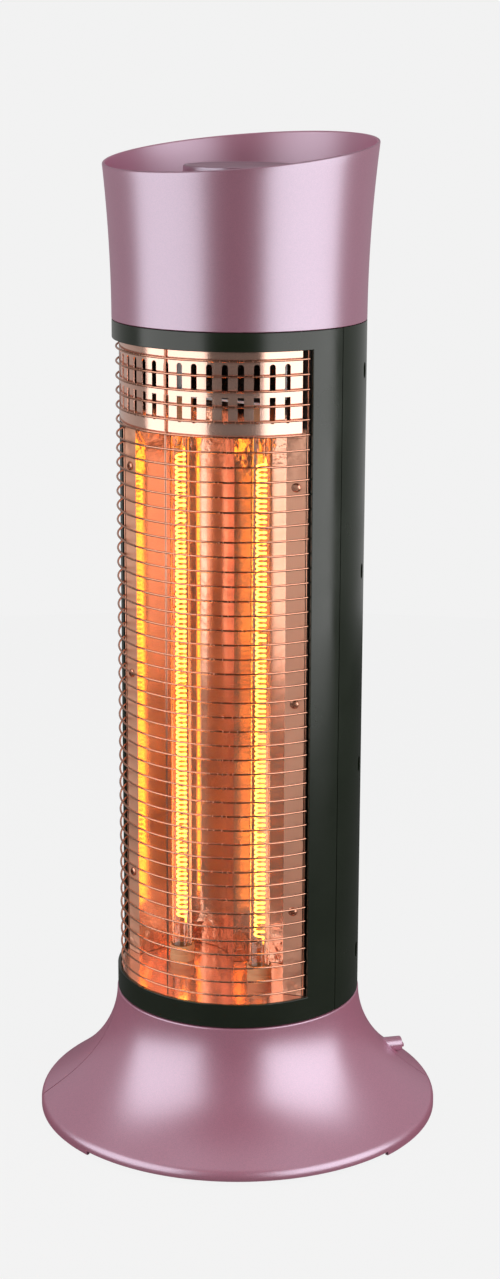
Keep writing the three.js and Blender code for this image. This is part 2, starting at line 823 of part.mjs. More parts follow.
function thickened(line, thickness) {
  const sideOf = (sign) =>
    line.map(([x, y], i) => {
      const [ax, ay] = line[Math.max(i - 1, 0)];
      const [bx, by] = line[Math.min(i + 1, line.length - 1)];
      const length = Math.hypot(bx - ax, by - ay);
      const shift = (sign * thickness) / 2 / length;
      return [x - (by - ay) * shift, y + (bx - ax) * shift];
    });
  return [...sideOf(1), ...sideOf(-1).reverse()];
}

function topShroud() {
  const spans = 19;
  const low = windowTop - shroudDropHeight;
  const wall = arcWall(
    shroudRadius - sheetThickness,
    shroudRadius,
    -shroudHalfAngle,
    shroudHalfAngle,
    low,
    upperPlateBottom - fitGap,
    spans,
  );
  const cuts = [];
  const inner = shroudRadius - sheetThickness - overrunLength;
  const outer = shroudRadius + overrunLength;
  for (let i = 0; i < slotColumns; i++) {
    const angle = slotPitch * (i - (slotColumns - 1) / 2);
    const lowSlot = low + slotLowerHeight;
    const highSlot = lowSlot + slotHeight + slotBetweenGap;
    const outlines = [
      openingOutline(slotWidth, lowSlot, lowSlot + slotHeight, 1, 0),
      openingOutline(slotWidth, highSlot, highSlot + slotHeight, 0, 1),
    ];
    cuts.push(...outlines.map((outline) => radialPrism(outline, inner, outer, angle)));
  }
  return wall.subtract(join(cuts));
}

const lampPlaces = [
  ["left", [-lampSideDistance, -lampForwardDistance]],
  ["right", [lampSideDistance, -lampForwardDistance]],
];

function chamberDeck() {
  const low = chamberDeckTop - sheetThickness;
  const disc = post(endPlateRadius, low, chamberDeckTop, [0, 0], roundSides);
  const reach = endPlateRadius + overrunLength;
  const ends = [low - overrunLength, chamberDeckTop + overrunLength];
  const behind = solid(block(-reach, reach, deckBackDepth, reach, ...ends));
  const holes = lampPlaces.map(([, place]) => hole(ceramicRadius + fitGap, low, chamberDeckTop, place));
  return disc.subtract(join([behind, ...holes]));
}

// A ceramic cap with its floor away from the lamp: below it for side 1, above it for side -1.
function ceramicCap(place, floor, side) {
  const [low, high] = [floor, floor + side * ceramicLength].sort((a, b) => a - b);
  const boreFloor = floor + side * ceramicFloorThickness;
  const boreMouth = floor + side * (ceramicLength + overrunLength);
  const [boreLow, boreHigh] = [boreFloor, boreMouth].sort((a, b) => a - b);
  const body = post(ceramicRadius, low, high, place);
  const bore = post(lampRadius + fitGap, boreLow, boreHigh, place);
  const lead = hole(leadHoleRadius, low, high, place, tinySides);
  return body.subtract(join([bore, lead]));
}

function lampTube([x, y]) {
  const tube = ring(lampRadius - lampThickness, lampRadius, lampBottom, lampTop, smallSides);
  return tube.translate([x, y, 0]);
}

// A bracket: a plate across both lamps and two legs to an end plate.
function lampBracket(plateLow, legEnd) {
  const plateHigh = plateLow + bracketThickness;
  const half = bracketHalfWidth;
  const plate = block(-half, half, -bracketFrontDepth, -bracketBackDepth, plateLow, plateHigh);
  const legEnds = [plateLow + bracketThickness / 2, legEnd].sort((a, b) => a - b);
  const legFront = -bracketBackDepth - bracketThickness;
  const legs = [-1, 1].map((side) => {
    const left = side * bracketLegDistance - bracketLegWidth / 2;
    return solid(block(left, left + bracketLegWidth, legFront, -bracketBackDepth, ...legEnds));
  });
  const leads = lampPlaces.map(([, place]) => hole(leadHoleRadius, plateLow, plateHigh, place, tinySides));
  return join([solid(plate), ...legs]).subtract(join(leads));
}

// The filament's centre line: a straight lead, the curls and a straight lead.
function filamentLine() {
  const line = [];
  const pitch = (filamentHigh - filamentLow) / (filamentCurls + 1);
  const halfTurn = curlSteps / 2;
  const rise = pitch / curlSteps;
  const add = (height, radius, step) => {
    line.push({ height, radius, angle: (2 * Math.PI * step) / curlSteps });
  };
  add(lowerCapBottom + ceramicFloorThickness / 2, 0, 0);
  for (let i = 0; i <= halfTurn; i++) add(filamentLow + rise * i, (filamentRadius * i) / halfTurn, i);
  const turns = filamentCurls * curlSteps;
  for (let i = 1; i <= turns; i++) add(filamentLow + rise * (halfTurn + i), filamentRadius, halfTurn + i);
  for (let i = 1; i <= halfTurn; i++) {
    const step = halfTurn + turns + i;
    add(filamentLow + rise * step, (filamentRadius * (halfTurn - i)) / halfTurn, step);
  }
  add(upperCapTop - ceramicFloorThickness / 2, 0, 2 * halfTurn + turns);
  return line;
}

// One unbroken tube along the filament's line.
function filament([x, y]) {
  const line = filamentLine();
  const centres = line.map(
    ({ height, radius, angle }) =>
      new THREE.Vector3(x + radius * Math.cos(angle), y + radius * Math.sin(angle), height),
  );
  const positions = [];
  centres.forEach((centre, i) => {
    const before = centres[Math.max(i - 1, 0)];
    const after = centres[Math.min(i + 1, centres.length - 1)];
    const along = after.clone().sub(before).normalize();
    const { angle } = line[i];
    const outward = new THREE.Vector3(Math.cos(angle), Math.sin(angle), 0);
    outward.addScaledVector(along, -outward.dot(along)).normalize();
    const across = along.clone().cross(outward);
    for (let k = 0; k < wireSides; k++) {
      const turn = (2 * Math.PI * k) / wireSides;
      const point = centre.clone();
      point.addScaledVector(outward, filamentWireRadius * Math.cos(turn));
      point.addScaledVector(across, filamentWireRadius * Math.sin(turn));
      positions.push(point.x, point.y, point.z);
    }
  });
  const faces = [];
  const at = (i, k) => i * wireSides + (k % wireSides);
  for (let i = 0; i < centres.length - 1; i++) {
    for (let k = 0; k < wireSides; k++) {
      faces.push(at(i, k), at(i, k + 1), at(i + 1, k));
      faces.push(at(i, k + 1), at(i + 1, k + 1), at(i + 1, k));
    }
  }
  const last = centres.length - 1;
  for (let k = 1; k < wireSides - 1; k++) {
    faces.push(at(0, 0), at(0, k + 1), at(0, k));
    faces.push(at(last, 0), at(last, k), at(last, k + 1));
  }
  const tube = new THREE.BufferGeometry();
  tube.setAttribute("position", new THREE.Float32BufferAttribute(positions, 3));
  tube.setIndex(faces);
  return { centres, body: solid(tube) };
}

// The least gap between two stretches of the tube that are over half a curl apart.
function selfGap(centres) {
  const skip = curlSteps / 2 + 1;
  let least = Infinity;
  for (let i = 0; i < centres.length; i++) {
    for (let j = i + skip; j < centres.length; j++) {
      least = Math.min(least, centres[i].distanceTo(centres[j]));
    }
  }
  return least - 2 * filamentWireRadius;
}

function thermalCutout() {
  const front = troughBackDepth + sheetThickness / 2 + fitGap;
  const can = new THREE.CylinderGeometry(cutoutRadius, cutoutRadius, cutoutThickness, smallSides);
  const height = towerTop - cutoutDropHeight;
  return solid(can.translate(troughMiddleWidth, front + cutoutThickness / 2, height));
}

function terminalBlock() {
  const low = lowerPlateTop + fitGap;
  const front = terminalBackDistance - terminalDepth / 2;
  const half = terminalWidth / 2;
  return solid(block(-half, half, front, front + terminalDepth, low, low + terminalHeight));
}

function reflector() {
  return prism(thickened(reflectorLine(), sheetThickness), reflectorBottom, reflectorTop);
}

function spindle() {
  const bore = spindleRadius - spindleThickness;
  return ring(bore, spindleRadius, deckTop - spindleSinkHeight, hubTop, midSides);
}

function addLamp(tower, side, place) {
  const coil = filament(place);
  const gap = selfGap(coil.centres);
  console.log(`filament_${side}: least gap to itself ${gap.toFixed(2)} mm, needs ${leastSelfGap} mm`);
  addPiece(tower, `quartz_tube_${side}`, "glass", lampTube(place));
  addPiece(tower, `filament_${side}`, "glow", coil.body);
  addPiece(tower, `lower_ceramic_cap_${side}`, "ceramic", ceramicCap(place, lowerCapBottom, 1));
  addPiece(tower, `upper_ceramic_cap_${side}`, "ceramic", ceramicCap(place, upperCapTop, -1));
}

function buildTower() {
  const tower = new THREE.Group();
  addPiece(tower, "turntable", "steel", turntable());
  addPiece(tower, "spindle", "steel", spindle());
  addPiece(tower, "lower_end_plate", "plastic", endPlate(towerBottom));
  addPiece(tower, "upper_end_plate", "plastic", endPlate(upperPlateBottom));
  addPiece(tower, "front_frame", "black", frontFrame());
  addPiece(tower, "rear_housing", "black", rearHousing());
  addPiece(tower, "grille", "wire", grille());
  addPiece(tower, "reflector", "copper", reflector());
  addPiece(tower, "top_shroud", "copper", topShroud());
  addPiece(tower, "chamber_deck", "copper", chamberDeck());
  const lowerPlate = lowerCapBottom - fitGap - bracketThickness;
  addPiece(tower, "lower_lamp_bracket", "steel", lampBracket(lowerPlate, lowerPlateTop + fitGap));
  const upperPlate = upperCapTop + fitGap;
  addPiece(tower, "upper_lamp_bracket", "steel", lampBracket(upperPlate, upperPlateBottom - fitGap));
  lampPlaces.forEach(([side, place]) => addLamp(tower, side, place));
  addPiece(tower, "side_rail_left", "steel", sideRail(-wellAngle));
  addPiece(tower, "side_rail_right", "steel", sideRail(wellAngle));
  wellPlaces().forEach(({ angle, height }, i) => {
    addPiece(tower, `housing_screw_${i + 1}`, "steel", housingScrew(angle, height));
  });
  addPiece(tower, "thermal_cutout", "steel", thermalCutout());
  addPiece(tower, "terminal_block", "nylon", terminalBlock());
  return tower;
}

// Cup
function flareRadius(height) {
  return tubeRadius + flareWidth * ((height - towerTop) / flareHeight) ** 2;
}

function cupShell() {
  const steps = 4;
  const top = towerTop + flareHeight + flareWidth + overrunLength;
  const rise = (top - cupBottom) / steps;
  const heights = Array.from({ length: steps + 1 }, (_, i) => cupBottom + rise * i);
  const outside = heights.map((height) => [flareRadius(height), height]);
  const inside = heights.map((height) => [flareRadius(height) - cupThickness, height]).reverse();
  const shell = turned([...outside, ...inside]);
  const reach = tubeRadius + flareWidth + flareHeight;
  const above = block(-reach, reach, -reach, reach, 0, reach);
  above.rotateX(rimTilt).rotateZ(rimTurn).translate(0, 0, towerTop + rimRiseHeight);
  return shell.subtract(solid(above));
}

function controlDeck() {
  const radius = flareRadius(controlBottom) - cupThickness - fitGap;
  return ring(shaftRadius + turnGap, radius, controlBottom, controlTop);
}

function deckColumn() {
  const bore = controlColumnRadius - controlColumnThickness;
  return ring(bore, controlColumnRadius, upperPlateTop + fitGap, controlBottom - fitGap, midSides);
}

function rotarySwitch() {
  const half = switchWidth / 2;
  const high = controlBottom - fitGap;
  const body = solid(block(-half, half, -half, half, high - switchHeight, high));
  return body.subtract(post(shaftRadius + fitGap, shaftBottom - fitGap, high + overrunLength));
}

function dial() {
  const low = controlTop + turnGap;
  const bore = shaftRadius + fitGap;
  const body = turned([
    [0, shaftTop + fitGap],
    [bore, shaftTop + fitGap],
    [bore, low],
    [dialHubRadius, low],
    [dialHubRadius, dialTop - dialThickness],
    [dialRadius - dialThickness, dialTop - dialThickness],
    [dialRadius - dialThickness, low],
    [dialRadius, low],
    [dialRadius, dialTop - dialEdgeWidth],
    [dialRadius - dialEdgeWidth, dialTop],
    [0, dialTop],
  ]);
  const grooveOuter = dialRadius - dialEdgeWidth - dialThickness;
  const groove = radialBlock(
    dialGrooveWidth,
    grooveOuter - dialGrooveLength,
    grooveOuter,
    dialTop - dialGrooveDepth,
    dialTop + overrunLength,
    0,
  );
  return body.subtract(groove);
}

function buildCup() {
  const cap = new THREE.Group();
  addPiece(cap, "cap_shell", "pink", cupShell());
  addPiece(cap, "control_deck", "black", controlDeck());
  addPiece(cap, "deck_column", "plastic", deckColumn());
  addPiece(cap, "rotary_switch", "plastic", rotarySwitch());
  addPiece(cap, "dial_shaft", "steel", post(shaftRadius, shaftBottom, shaftTop));
  addPiece(cap, "dial", "pink", dial());
  return cap;
}

const heater = new THREE.Group();
heater.add(buildBase(), buildTower(), buildCup());

export default heater;
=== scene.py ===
import json
from math import ceil, cos, hypot, pi, radians, sin, tan

import bmesh
import bpy
from mathutils import Matrix, Vector


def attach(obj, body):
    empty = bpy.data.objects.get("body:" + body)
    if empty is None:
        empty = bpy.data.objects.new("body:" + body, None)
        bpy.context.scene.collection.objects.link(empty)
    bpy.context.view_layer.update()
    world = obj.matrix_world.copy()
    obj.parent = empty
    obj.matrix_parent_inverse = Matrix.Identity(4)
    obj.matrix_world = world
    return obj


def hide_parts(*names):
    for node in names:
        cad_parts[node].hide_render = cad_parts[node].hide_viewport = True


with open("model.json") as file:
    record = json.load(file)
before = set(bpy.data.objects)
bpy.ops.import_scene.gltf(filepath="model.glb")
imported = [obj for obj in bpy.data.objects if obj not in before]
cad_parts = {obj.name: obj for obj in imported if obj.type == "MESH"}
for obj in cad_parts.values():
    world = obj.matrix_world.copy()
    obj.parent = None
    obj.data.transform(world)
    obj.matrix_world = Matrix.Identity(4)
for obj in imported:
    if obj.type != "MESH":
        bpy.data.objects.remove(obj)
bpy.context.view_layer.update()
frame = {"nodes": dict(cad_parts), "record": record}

# A tower-shaped carbon heater. Sizes are in millimetres until a mesh is made.
# Angles round the tower run from the window's side, -Y, towards +X.
MM = 0.001
WELD = 0.00001
SHARP = radians(32)

# The turn that lays an upright rod along the Y axis
LAID = (pi / 2, 0, 0)

# Base
BASE_TURN = radians(36)
SPLIT_TURN = radians(6)
SPLIT_GAP = 0.3
BASE_RADIUS = 139.8
BASE_HEIGHT = 88.0
NECK_RADIUS = 85.0
SKIN = 2.4
SKIRT_BOTTOM = 0.6
SKIRT_TOP = 4.5
RIM_ROLL = 6.5
ROLL_CENTRE = BASE_RADIUS - RIM_ROLL
FLARE_END = radians(56)
FLANGE_INNER = 68.0
NOTCH_HEIGHT = 2.5
NOTCH_HALF = radians(47)
FOOT_CIRCLE = 112.0
FOOT_RADIUS = 9.0
FOOT_TOP = 3.2
PLATE_RADIUS = 136.0
PLATE_BOTTOM = 3.5
PLATE_TOP = 5.5
TIP_ANGLE = radians(-90)
TIP_DISTANCE = 112.0
TIP_BORE = 3.3
KNOB_ANGLE = radians(103)
KNOB_HEIGHT = 29.5
KNOB_RADIUS = 5.3
KNOB_OUT = 9.9
KNOB_LENGTH = 17.5
GLAND_ANGLE = radians(180)
GLAND_HEIGHT = 17.0
GLAND_RADIUS = 7.0
GLAND_BORE = 4.0
GLAND_OUT = 4.3

# Tower
TUBE = 84.5
TUBE_BORE = 82.3
TOWER_LOW = 88.6
TOWER_HIGH = 556.7
SEAM_HALF = radians(88)
SEAM_GAP = radians(0.2)
WINDOW_HALF = radians(70)
WINDOW_LOW = 105.0
WINDOW_HIGH = 544.5
WELL_ANGLE = radians(113)
WELL_LOWEST = 120.0
WELL_PITCH = 135.0
WELL_COUNT = 4
WELL_WIDTH = 6.4
WELL_HEIGHT = 10.5
WELL_FLOOR = 77.4
WELL_BACK = 75.5
WELL_WALL = 2.8
SCREW_RADIUS = 1.4

# Grille, reflector and shroud
WIRE = 0.7
HOOP_RADIUS = 81.7
HOOP_COUNT = 45
HOOP_LOWEST = 110.9
HOOP_HIGHEST = 538.6
UPRIGHT_COUNT = 3
UPRIGHT_RADIUS = 80.6
UPRIGHT_ANGLE = radians(69.4)
SHEET = 0.8
FLANGE_EDGE = (74.2, -28.6)
FLANGE_BEND = (62.0, -33.0)
TROUGH_MIDDLE = 33.0
TROUGH_BACK = 12.0
RIDGE_FRONT = -5.0
OUTER_POWER = 2.9
INNER_POWER = 2.0
REFLECTOR_LOW = 105.0
REFLECTOR_HIGH = 545.3
SHROUD_RADIUS = 79.6
SHROUD_HALF = radians(66.5)
SHROUD_LOW = 490.0
SHROUD_HIGH = 549.7
SLOT_COLUMNS = 17
SLOT_PITCH = radians(7.35)
SLOT_WIDTH = 4.0
SLOT_HEIGHT = 17.0
LOW_SLOT = 498.0
HIGH_SLOT = 519.2

# Lamps
LAMP_X = 33.5
LAMP_Y = -21.0
LAMP_RADIUS = 7.0
LAMP_WALL = 1.2
LAMP_LOW = 102.3
LAMP_HIGH = 499.7
CAP_RADIUS = 8.5
CAP_LENGTH = 20.0
CAP_FLOOR = 6.0
LOWER_CAP = 96.0
UPPER_CAP = 506.0
COIL_RADIUS = 3.2
COIL_WIRE = 0.6
COIL_LOW = 137.0
COIL_HIGH = 465.0
COIL_TURNS = 94.0

# Cup and dial
CUP_LOW = 557.0
CUP_WALL = 2.0
FLARE_HEIGHT = 118.0
FLARE_WIDTH = 7.2
RIM_HEIGHT = 665.3
RIM_TILT = radians(6.4)
RIM_HIGHEST = radians(170)
DECK_TOP = 628.3
DECK_THICK = 3.0
DIAL_RADIUS = 37.0
DIAL_LOW = 628.9
DIAL_TOP = 656.5

# How finely round shapes are divided
FINE_TURN = 192
BROAD_TURN = 128
MIDDLE_TURN = 48
SMALL_TURN = 32
HOOP_POINTS = 97
HOOP_SIDES = 10
COIL_POINTS = 18
COIL_SIDES = 6
SCREW_SIDES = 24
SLOT_SIDES = 20
BORE_SIDES = 16
FILLET_STEPS = 4

# How deep the shapes reach that cut slots, wells and their bores
CUTTER_DEPTH = 12.0
BORE_DEPTH = 16.0


# Meshes
def place_on(radius, angle, height=0.0):
    return (radius * sin(angle), -radius * cos(angle), height)


def spread(low, high, count):
    return [low + (high - low) * i / count for i in range(count + 1)]


def full_turn(count):
    return [2 * pi * i / count for i in range(count)]


def linked(name, data):
    item = bpy.data.objects.new(name, data)
    bpy.context.scene.collection.objects.link(item)
    return item


def tidied(mesh):
    work = bmesh.new()
    work.from_mesh(mesh)
    bmesh.ops.remove_doubles(work, verts=work.verts, dist=WELD)
    bmesh.ops.recalc_face_normals(work, faces=work.faces)
    work.to_mesh(mesh)
    work.free()
    mesh.shade_smooth()
    mesh.set_sharp_from_angle(angle=SHARP)
    return mesh


def new_piece(name, points=(), faces=()):
    mesh = bpy.data.meshes.new(name)
    mesh.from_pydata([Vector(point) * MM for point in points], [], faces)
    return linked(name, tidied(mesh) if faces else mesh)


def filleted(corners):
    """A closed outline with each corner, given as x, y and a fillet radius, rounded off."""
    outline = []
    for i, (x, y, radius) in enumerate(corners):
        here = Vector((x, y))
        if radius == 0:
            outline.append((x, y))
            continue
        back = Vector(corners[i - 1][:2]) - here
        ahead = Vector(corners[(i + 1) % len(corners)][:2]) - here
        half = back.angle(ahead) / 2
        run = radius / tan(half)
        back.normalize()
        ahead.normalize()
        centre = here + (back + ahead).normalized() * (radius / sin(half))
        first = here + back * run - centre
        last = here + ahead * run - centre
        turn = first.angle_signed(last)
        for share in spread(0, 1, FILLET_STEPS):
            outline.append(tuple(centre + Matrix.Rotation(-turn * share, 2) @ first))
    return outline


def turned_piece(name, outline_at, angles, whole=True, looped=True):
    """Sweeps an outline of radius and height round the axis. A looped outline is a closed line."""
    rings = [outline_at(angle) for angle in angles]
    points = []
    for angle, ring in zip(angles, rings):
        points += [place_on(radius, angle, height) for radius, height in ring]
    count = len(rings[0])
    faces = []
    for i in range(len(angles) if whole else len(angles) - 1):
        j = (i + 1) % len(angles)
        for k in range(count if looped else count - 1):
            n = (k + 1) % count
            faces.append((i * count + k, j * count + k, j * count + n, i * count + n))
    if not whole:
        faces.append(tuple(range(count)))
        faces.append(tuple(range((len(angles) - 1) * count, len(angles) * count)))
    return new_piece(name, points, faces)


def turned_solid(name, corners, count, looped=True, floor=0, way=1):
    """Turns an outline of filleted corners right round the axis, standing on a floor or hanging from it."""
    outline = [(radius, floor + way * height) for radius, height in filleted(corners)]
    return turned_piece(name, lambda angle: outline, full_turn(count), looped=looped)


def moved(piece, x, y):
    piece.data.transform(Matrix.Translation(Vector((x, y, 0)) * MM))
    return piece


def pointed_out(piece, height, angle):
    """Lays a piece that was turned round the Z axis on its side, so that it points out from the axis."""
    lift = Matrix.Translation((0, 0, height * MM))
    piece.data.transform(Matrix.Rotation(angle, 4, "Z") @ lift @ Matrix.Rotation(pi / 2, 4, "X"))
    return piece


def sheet_piece(name, line, thickness, heights):
    """A bent sheet: a level line with a thickness, drawn upwards."""
    shifts = []
    for before, after in zip(line[:1] + line[:-1], line[1:] + line[-1:]):
        dx, dy = after[0] - before[0], after[1] - before[1]
        half = thickness / 2 / hypot(dx, dy)
        shifts.append((-dy * half, dx * half))
    outline = [(x + dx, y + dy) for (x, y), (dx, dy) in zip(line, shifts)]
    outline += [(x - dx, y - dy) for (x, y), (dx, dy) in zip(line[::-1], shifts[::-1])]
    count = len(outline)
    points = [(x, y, height) for height in heights for x, y in outline]
    levels = [level * count for level in range(len(heights))]
    faces = []
    for low, high in zip(levels, levels[1:]):
        for k in range(count):
            n = (k + 1) % count
            faces.append((low + k, low + n, high + n, high + k))
    for level in (levels[0], levels[-1]):
        for i in range(len(line) - 1):
            faces.append((level + i, level + i + 1, level + count - 2 - i, level + count - 1 - i))
    return new_piece(name, points, faces)


def curved_panel(name, angles, heights, inner, outer, is_open=lambda angle, height: False):
    """A curved wall on a grid of angles and heights, with openings where is_open says so."""
    column, side = len(heights), len(heights) * len(angles)
    points = []
    for radius in (inner, outer):
        points += [place_on(radius, angle, height) for angle in angles for height in heights]
    cells = [
        (i, j)
        for i in range(len(angles) - 1)
        for j in range(len(heights) - 1)
        if not is_open((angles[i] + angles[i + 1]) / 2, (heights[j] + heights[j + 1]) / 2)
    ]
    faces = []
    for i, j in cells:
        first = i * column + j
        corners = (first, first + column, first + column + 1, first + 1)
        faces += [corners, tuple(side + corner for corner in corners)]
        borders = {(i - 1, j): (0, 3), (i + 1, j): (1, 2), (i, j - 1): (0, 1), (i, j + 1): (3, 2)}
        for neighbour, ends in borders.items():
            if neighbour not in cells:
                start, stop = (corners[end] for end in ends)
                faces.append((start, stop, side + stop, side + start))
    return new_piece(name, points, faces)


def block_piece(name, size, centre):
    corners = [(x, y, z) for x in (-0.5, 0.5) for y in (-0.5, 0.5) for z in (-0.5, 0.5)]
    points = [tuple(centre[k] + corner[k] * size[k] for k in range(3)) for corner in corners]
    faces = [(0, 1, 3, 2), (4, 6, 7, 5), (0, 4, 5, 1), (2, 3, 7, 6), (0, 2, 6, 4), (1, 5, 7, 3)]
    return new_piece(name, points, faces)


def made_plain(piece):
    """Turns what the modifiers make into the piece's own mesh."""
    graph = bpy.context.evaluated_depsgraph_get()
    mesh = bpy.data.meshes.new_from_object(piece.evaluated_get(graph), depsgraph=graph)
    piece.modifiers.clear()
    piece.data = mesh
    return piece


def carved(piece, *tools, how="DIFFERENCE"):
    for tool in tools:
        change = piece.modifiers.new("carve", "BOOLEAN")
        change.operation = how
        change.solver = "EXACT"
        change.object = tool
    made_plain(piece)
    for tool in tools:
        bpy.data.objects.remove(tool)
    tidied(piece.data)
    return piece


def softened(piece, width, segments=2, angle=40):
    """Rounds a piece's sharp edges."""
    bevel = piece.modifiers.new("soft edges", "BEVEL")
    bevel.width = width * MM
    bevel.segments = segments
    bevel.limit_method = "ANGLE"
    bevel.angle_limit = radians(angle)
    bevel.harden_normals = True
    return piece


def painted(piece, finish):
    piece.data.materials.clear()
    piece.data.materials.append(finish)


def dressed(piece, body, slot, *nodes, finish=None):
    """Gives a piece its slot's finish or its own and its body, and hides the CAD nodes that it stands for.
    """
    painted(piece, finish or FINISHES[slot])
    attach(piece, body)
    if nodes:
        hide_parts(*nodes)


# Node trees
def spaced(values):
    """Gives keywords the spaces that sockets have in their names."""
    return {key.replace("_", " "): value for key, value in values.items()}


class Steps:
    """Adds nodes to a tree and joins their sockets."""

    def __init__(self, tree):
        self.tree = tree

    def fill(self, node, sockets):
        """Fills sockets, each with a value, another node's socket or a list of those."""
        for key, values in sockets.items():
            for value in values if isinstance(values, list) else [values]:
                if isinstance(value, bpy.types.NodeSocket):
                    self.tree.links.new(value, node.inputs[key])
                else:
                    node.inputs[key].default_value = value

    def add(self, kind, *values, **named):
        """Adds a node. Names in small letters are settings, and the rest fills its sockets."""
        node = self.tree.nodes.new(kind)
        sockets = dict(enumerate(values))
        for key, value in named.items():
            if key.islower():
                setattr(node, key, value)
            else:
                sockets[key.replace("_", " ")] = value
        self.fill(node, sockets)
        return node

    def get(self, kind, *values, **named):
        """Adds a node and gives its first output."""
        return self.add(kind, *values, **named).outputs[0]

    def calc(self, how, *values):
        return self.get("ShaderNodeMath", *values, operation=how)

    def vector(self, x=0.0, y=0.0, z=0.0):
        return self.get("ShaderNodeCombineXYZ", x, y, z)

    def show(self, end, seen, unseen):
        """Shows one shader to the camera and another one to all other rays."""
        is_seen = self.add("ShaderNodeLightPath").outputs["Is Camera Ray"]
        mix = self.get("ShaderNodeMixShader", is_seen, unseen, seen)
        self.fill(self.tree.nodes[end], {"Surface": mix})


class Group(Steps):
    """The steps of a node group. An input is given as its first value or as its kind of socket."""

    def __init__(self, name, kind, inputs):
        super().__init__(bpy.data.node_groups.new(name, kind))
        kinds = {bool: "Bool", int: "Int", float: "Float", tuple: "Vector"}
        for label, value in inputs.items():
            made = self.socket(label, "INPUT", kinds.get(type(value), value))
            if type(value) in kinds:
                made.default_value = value
        self.given = self.add("NodeGroupInput").outputs

    def socket(self, label, side, kind):
        return self.tree.interface.new_socket(name=label, in_out=side, socket_type="NodeSocket" + kind)

    def ended(self, kind, **results):
        """Gives the results to the group's outputs."""
        for label in results:
            self.socket(label, "OUTPUT", kind)
        self.add("NodeGroupOutput", **results)
        return self.tree


class ShapeGroup(Group):
    """The steps of a tree that makes a shape."""

    def __init__(self, name, **inputs):
        inputs = {"Shape": "Geometry", **spaced(inputs), "Finish": "Material"}
        super().__init__(name, "GeometryNodeTree", inputs)

    def shape(self, kind, **named):
        return self.get("GeometryNode" + kind, **named)

    def shifted(self, shape, x=0.0, y=0.0, z=0.0, turn=(0, 0, 0)):
        return self.shape("Transform", Geometry=shape, Translation=self.vector(x, y, z), Rotation=turn)

    def block(self, x, y, z):
        return self.shape("MeshCube", Size=self.vector(x, y, z))

    def rod(self, radius, depth, sides):
        return self.shape("MeshCylinder", Vertices=sides, Radius=radius, Depth=depth)

    def upright(self, low, high, x=0.0, y=0.0):
        return self.shape("CurvePrimitiveLine", Start=self.vector(x, y, low), End=self.vector(x, y, high))

    def wire(self, curve, sides):
        profile = self.shape("CurvePrimitiveCircle", Resolution=sides, Radius=self.given["Wire Radius"])
        return self.shape("CurveToMesh", Curve=curve, Profile_Curve=profile, Fill_Caps=True)

    def levels(self, count, lowest=0.0, pitch=0.0):
        """Points on the axis, one above the other."""
        ends = {"Start_Location": self.vector(z=lowest), "Offset": self.vector(z=pitch)}
        return self.shape("MeshLine", Count=count, **ends)

    def copied(self, shape, points, turn=(0, 0, 0)):
        return self.shape("InstanceOnPoints", Points=points, Instance=shape, Rotation=turn)

    def fanned(self, shape, count, pitch):
        """Copies of a shape side by side round the axis, at an angle's pitch."""
        middle = self.calc("MULTIPLY", self.calc("SUBTRACT", count, 1.0), 0.5)
        place = self.calc("SUBTRACT", self.shape("InputIndex"), middle)
        return self.copied(shape, self.levels(count), self.vector(z=self.calc("MULTIPLY", place, pitch)))

    def joined(self, *shapes):
        return self.shape("JoinGeometry", Geometry=list(shapes))

    def merged(self, *shapes):
        return self.shape("MeshBoolean", operation="UNION", solver="EXACT", Mesh_2=list(shapes))

    def cut(self, shape, *tools):
        how = {"operation": "DIFFERENCE", "solver": "EXACT"}
        return self.shape("MeshBoolean", Mesh_1=shape, Mesh_2=list(tools), **how)

    def real(self, shape):
        return self.shape("RealizeInstances", Geometry=shape)

    def finished(self, shape):
        """Ends the tree as plain faces with their finish."""
        faces = self.real(self.shape("SetShadeSmooth", Geometry=shape))
        return self.ended(
            "Geometry", Shape=self.shape("SetMaterial", Geometry=faces, Material=self.given["Finish"])
        )


def shaped(piece, tree, finish, counts, **lengths):
    """Runs a shape's tree on a piece and keeps what it makes as the piece's mesh.

    Lengths are given in millimetres, and counts, angles and choices as they are.
    """
    values = {"Finish": finish, **counts}
    values.update({label: length * MM for label, length in spaced(lengths).items()})
    change = piece.modifiers.new(tree.name, "NODES")
    change.node_group = tree
    for socket in tree.interface.items_tree:
        if socket.in_out == "INPUT" and socket.name in values:
            change[socket.identifier] = values[socket.name]
    made_plain(piece)
    piece.data.set_sharp_from_angle(angle=SHARP)


def grille_tree():
    """Level hoops, one above the other, and uprights behind them."""
    steps = ShapeGroup(
        "grille wires", Hoops=2, Lowest=0.0, Pitch=0.01, Hoop_Radius=0.1, Half_Angle=1.0, Uprights=3,
        Upright_Radius=0.1, Upright_Low=0.0, Upright_High=1.0, Wire_Radius=0.001,
    )
    given = steps.given
    start = steps.calc("SUBTRACT", -pi / 2, given["Half Angle"])
    sweep = steps.calc("MULTIPLY", given["Half Angle"], 2.0)
    radius = given["Hoop Radius"]
    arc = {"Resolution": HOOP_POINTS, "Radius": radius, "Start_Angle": start, "Sweep_Angle": sweep}
    hoop = steps.wire(steps.shape("CurveArc", **arc), HOOP_SIDES)
    hoops = steps.copied(hoop, steps.levels(given["Hoops"], given["Lowest"], given["Pitch"]))
    back = steps.calc("MULTIPLY", given["Upright Radius"], -1.0)
    upright = steps.wire(steps.upright(given["Upright Low"], given["Upright High"], y=back), HOOP_SIDES)
    uprights = steps.fanned(upright, given["Uprights"], given["Half Angle"])
    return steps.finished(steps.joined(hoops, uprights))


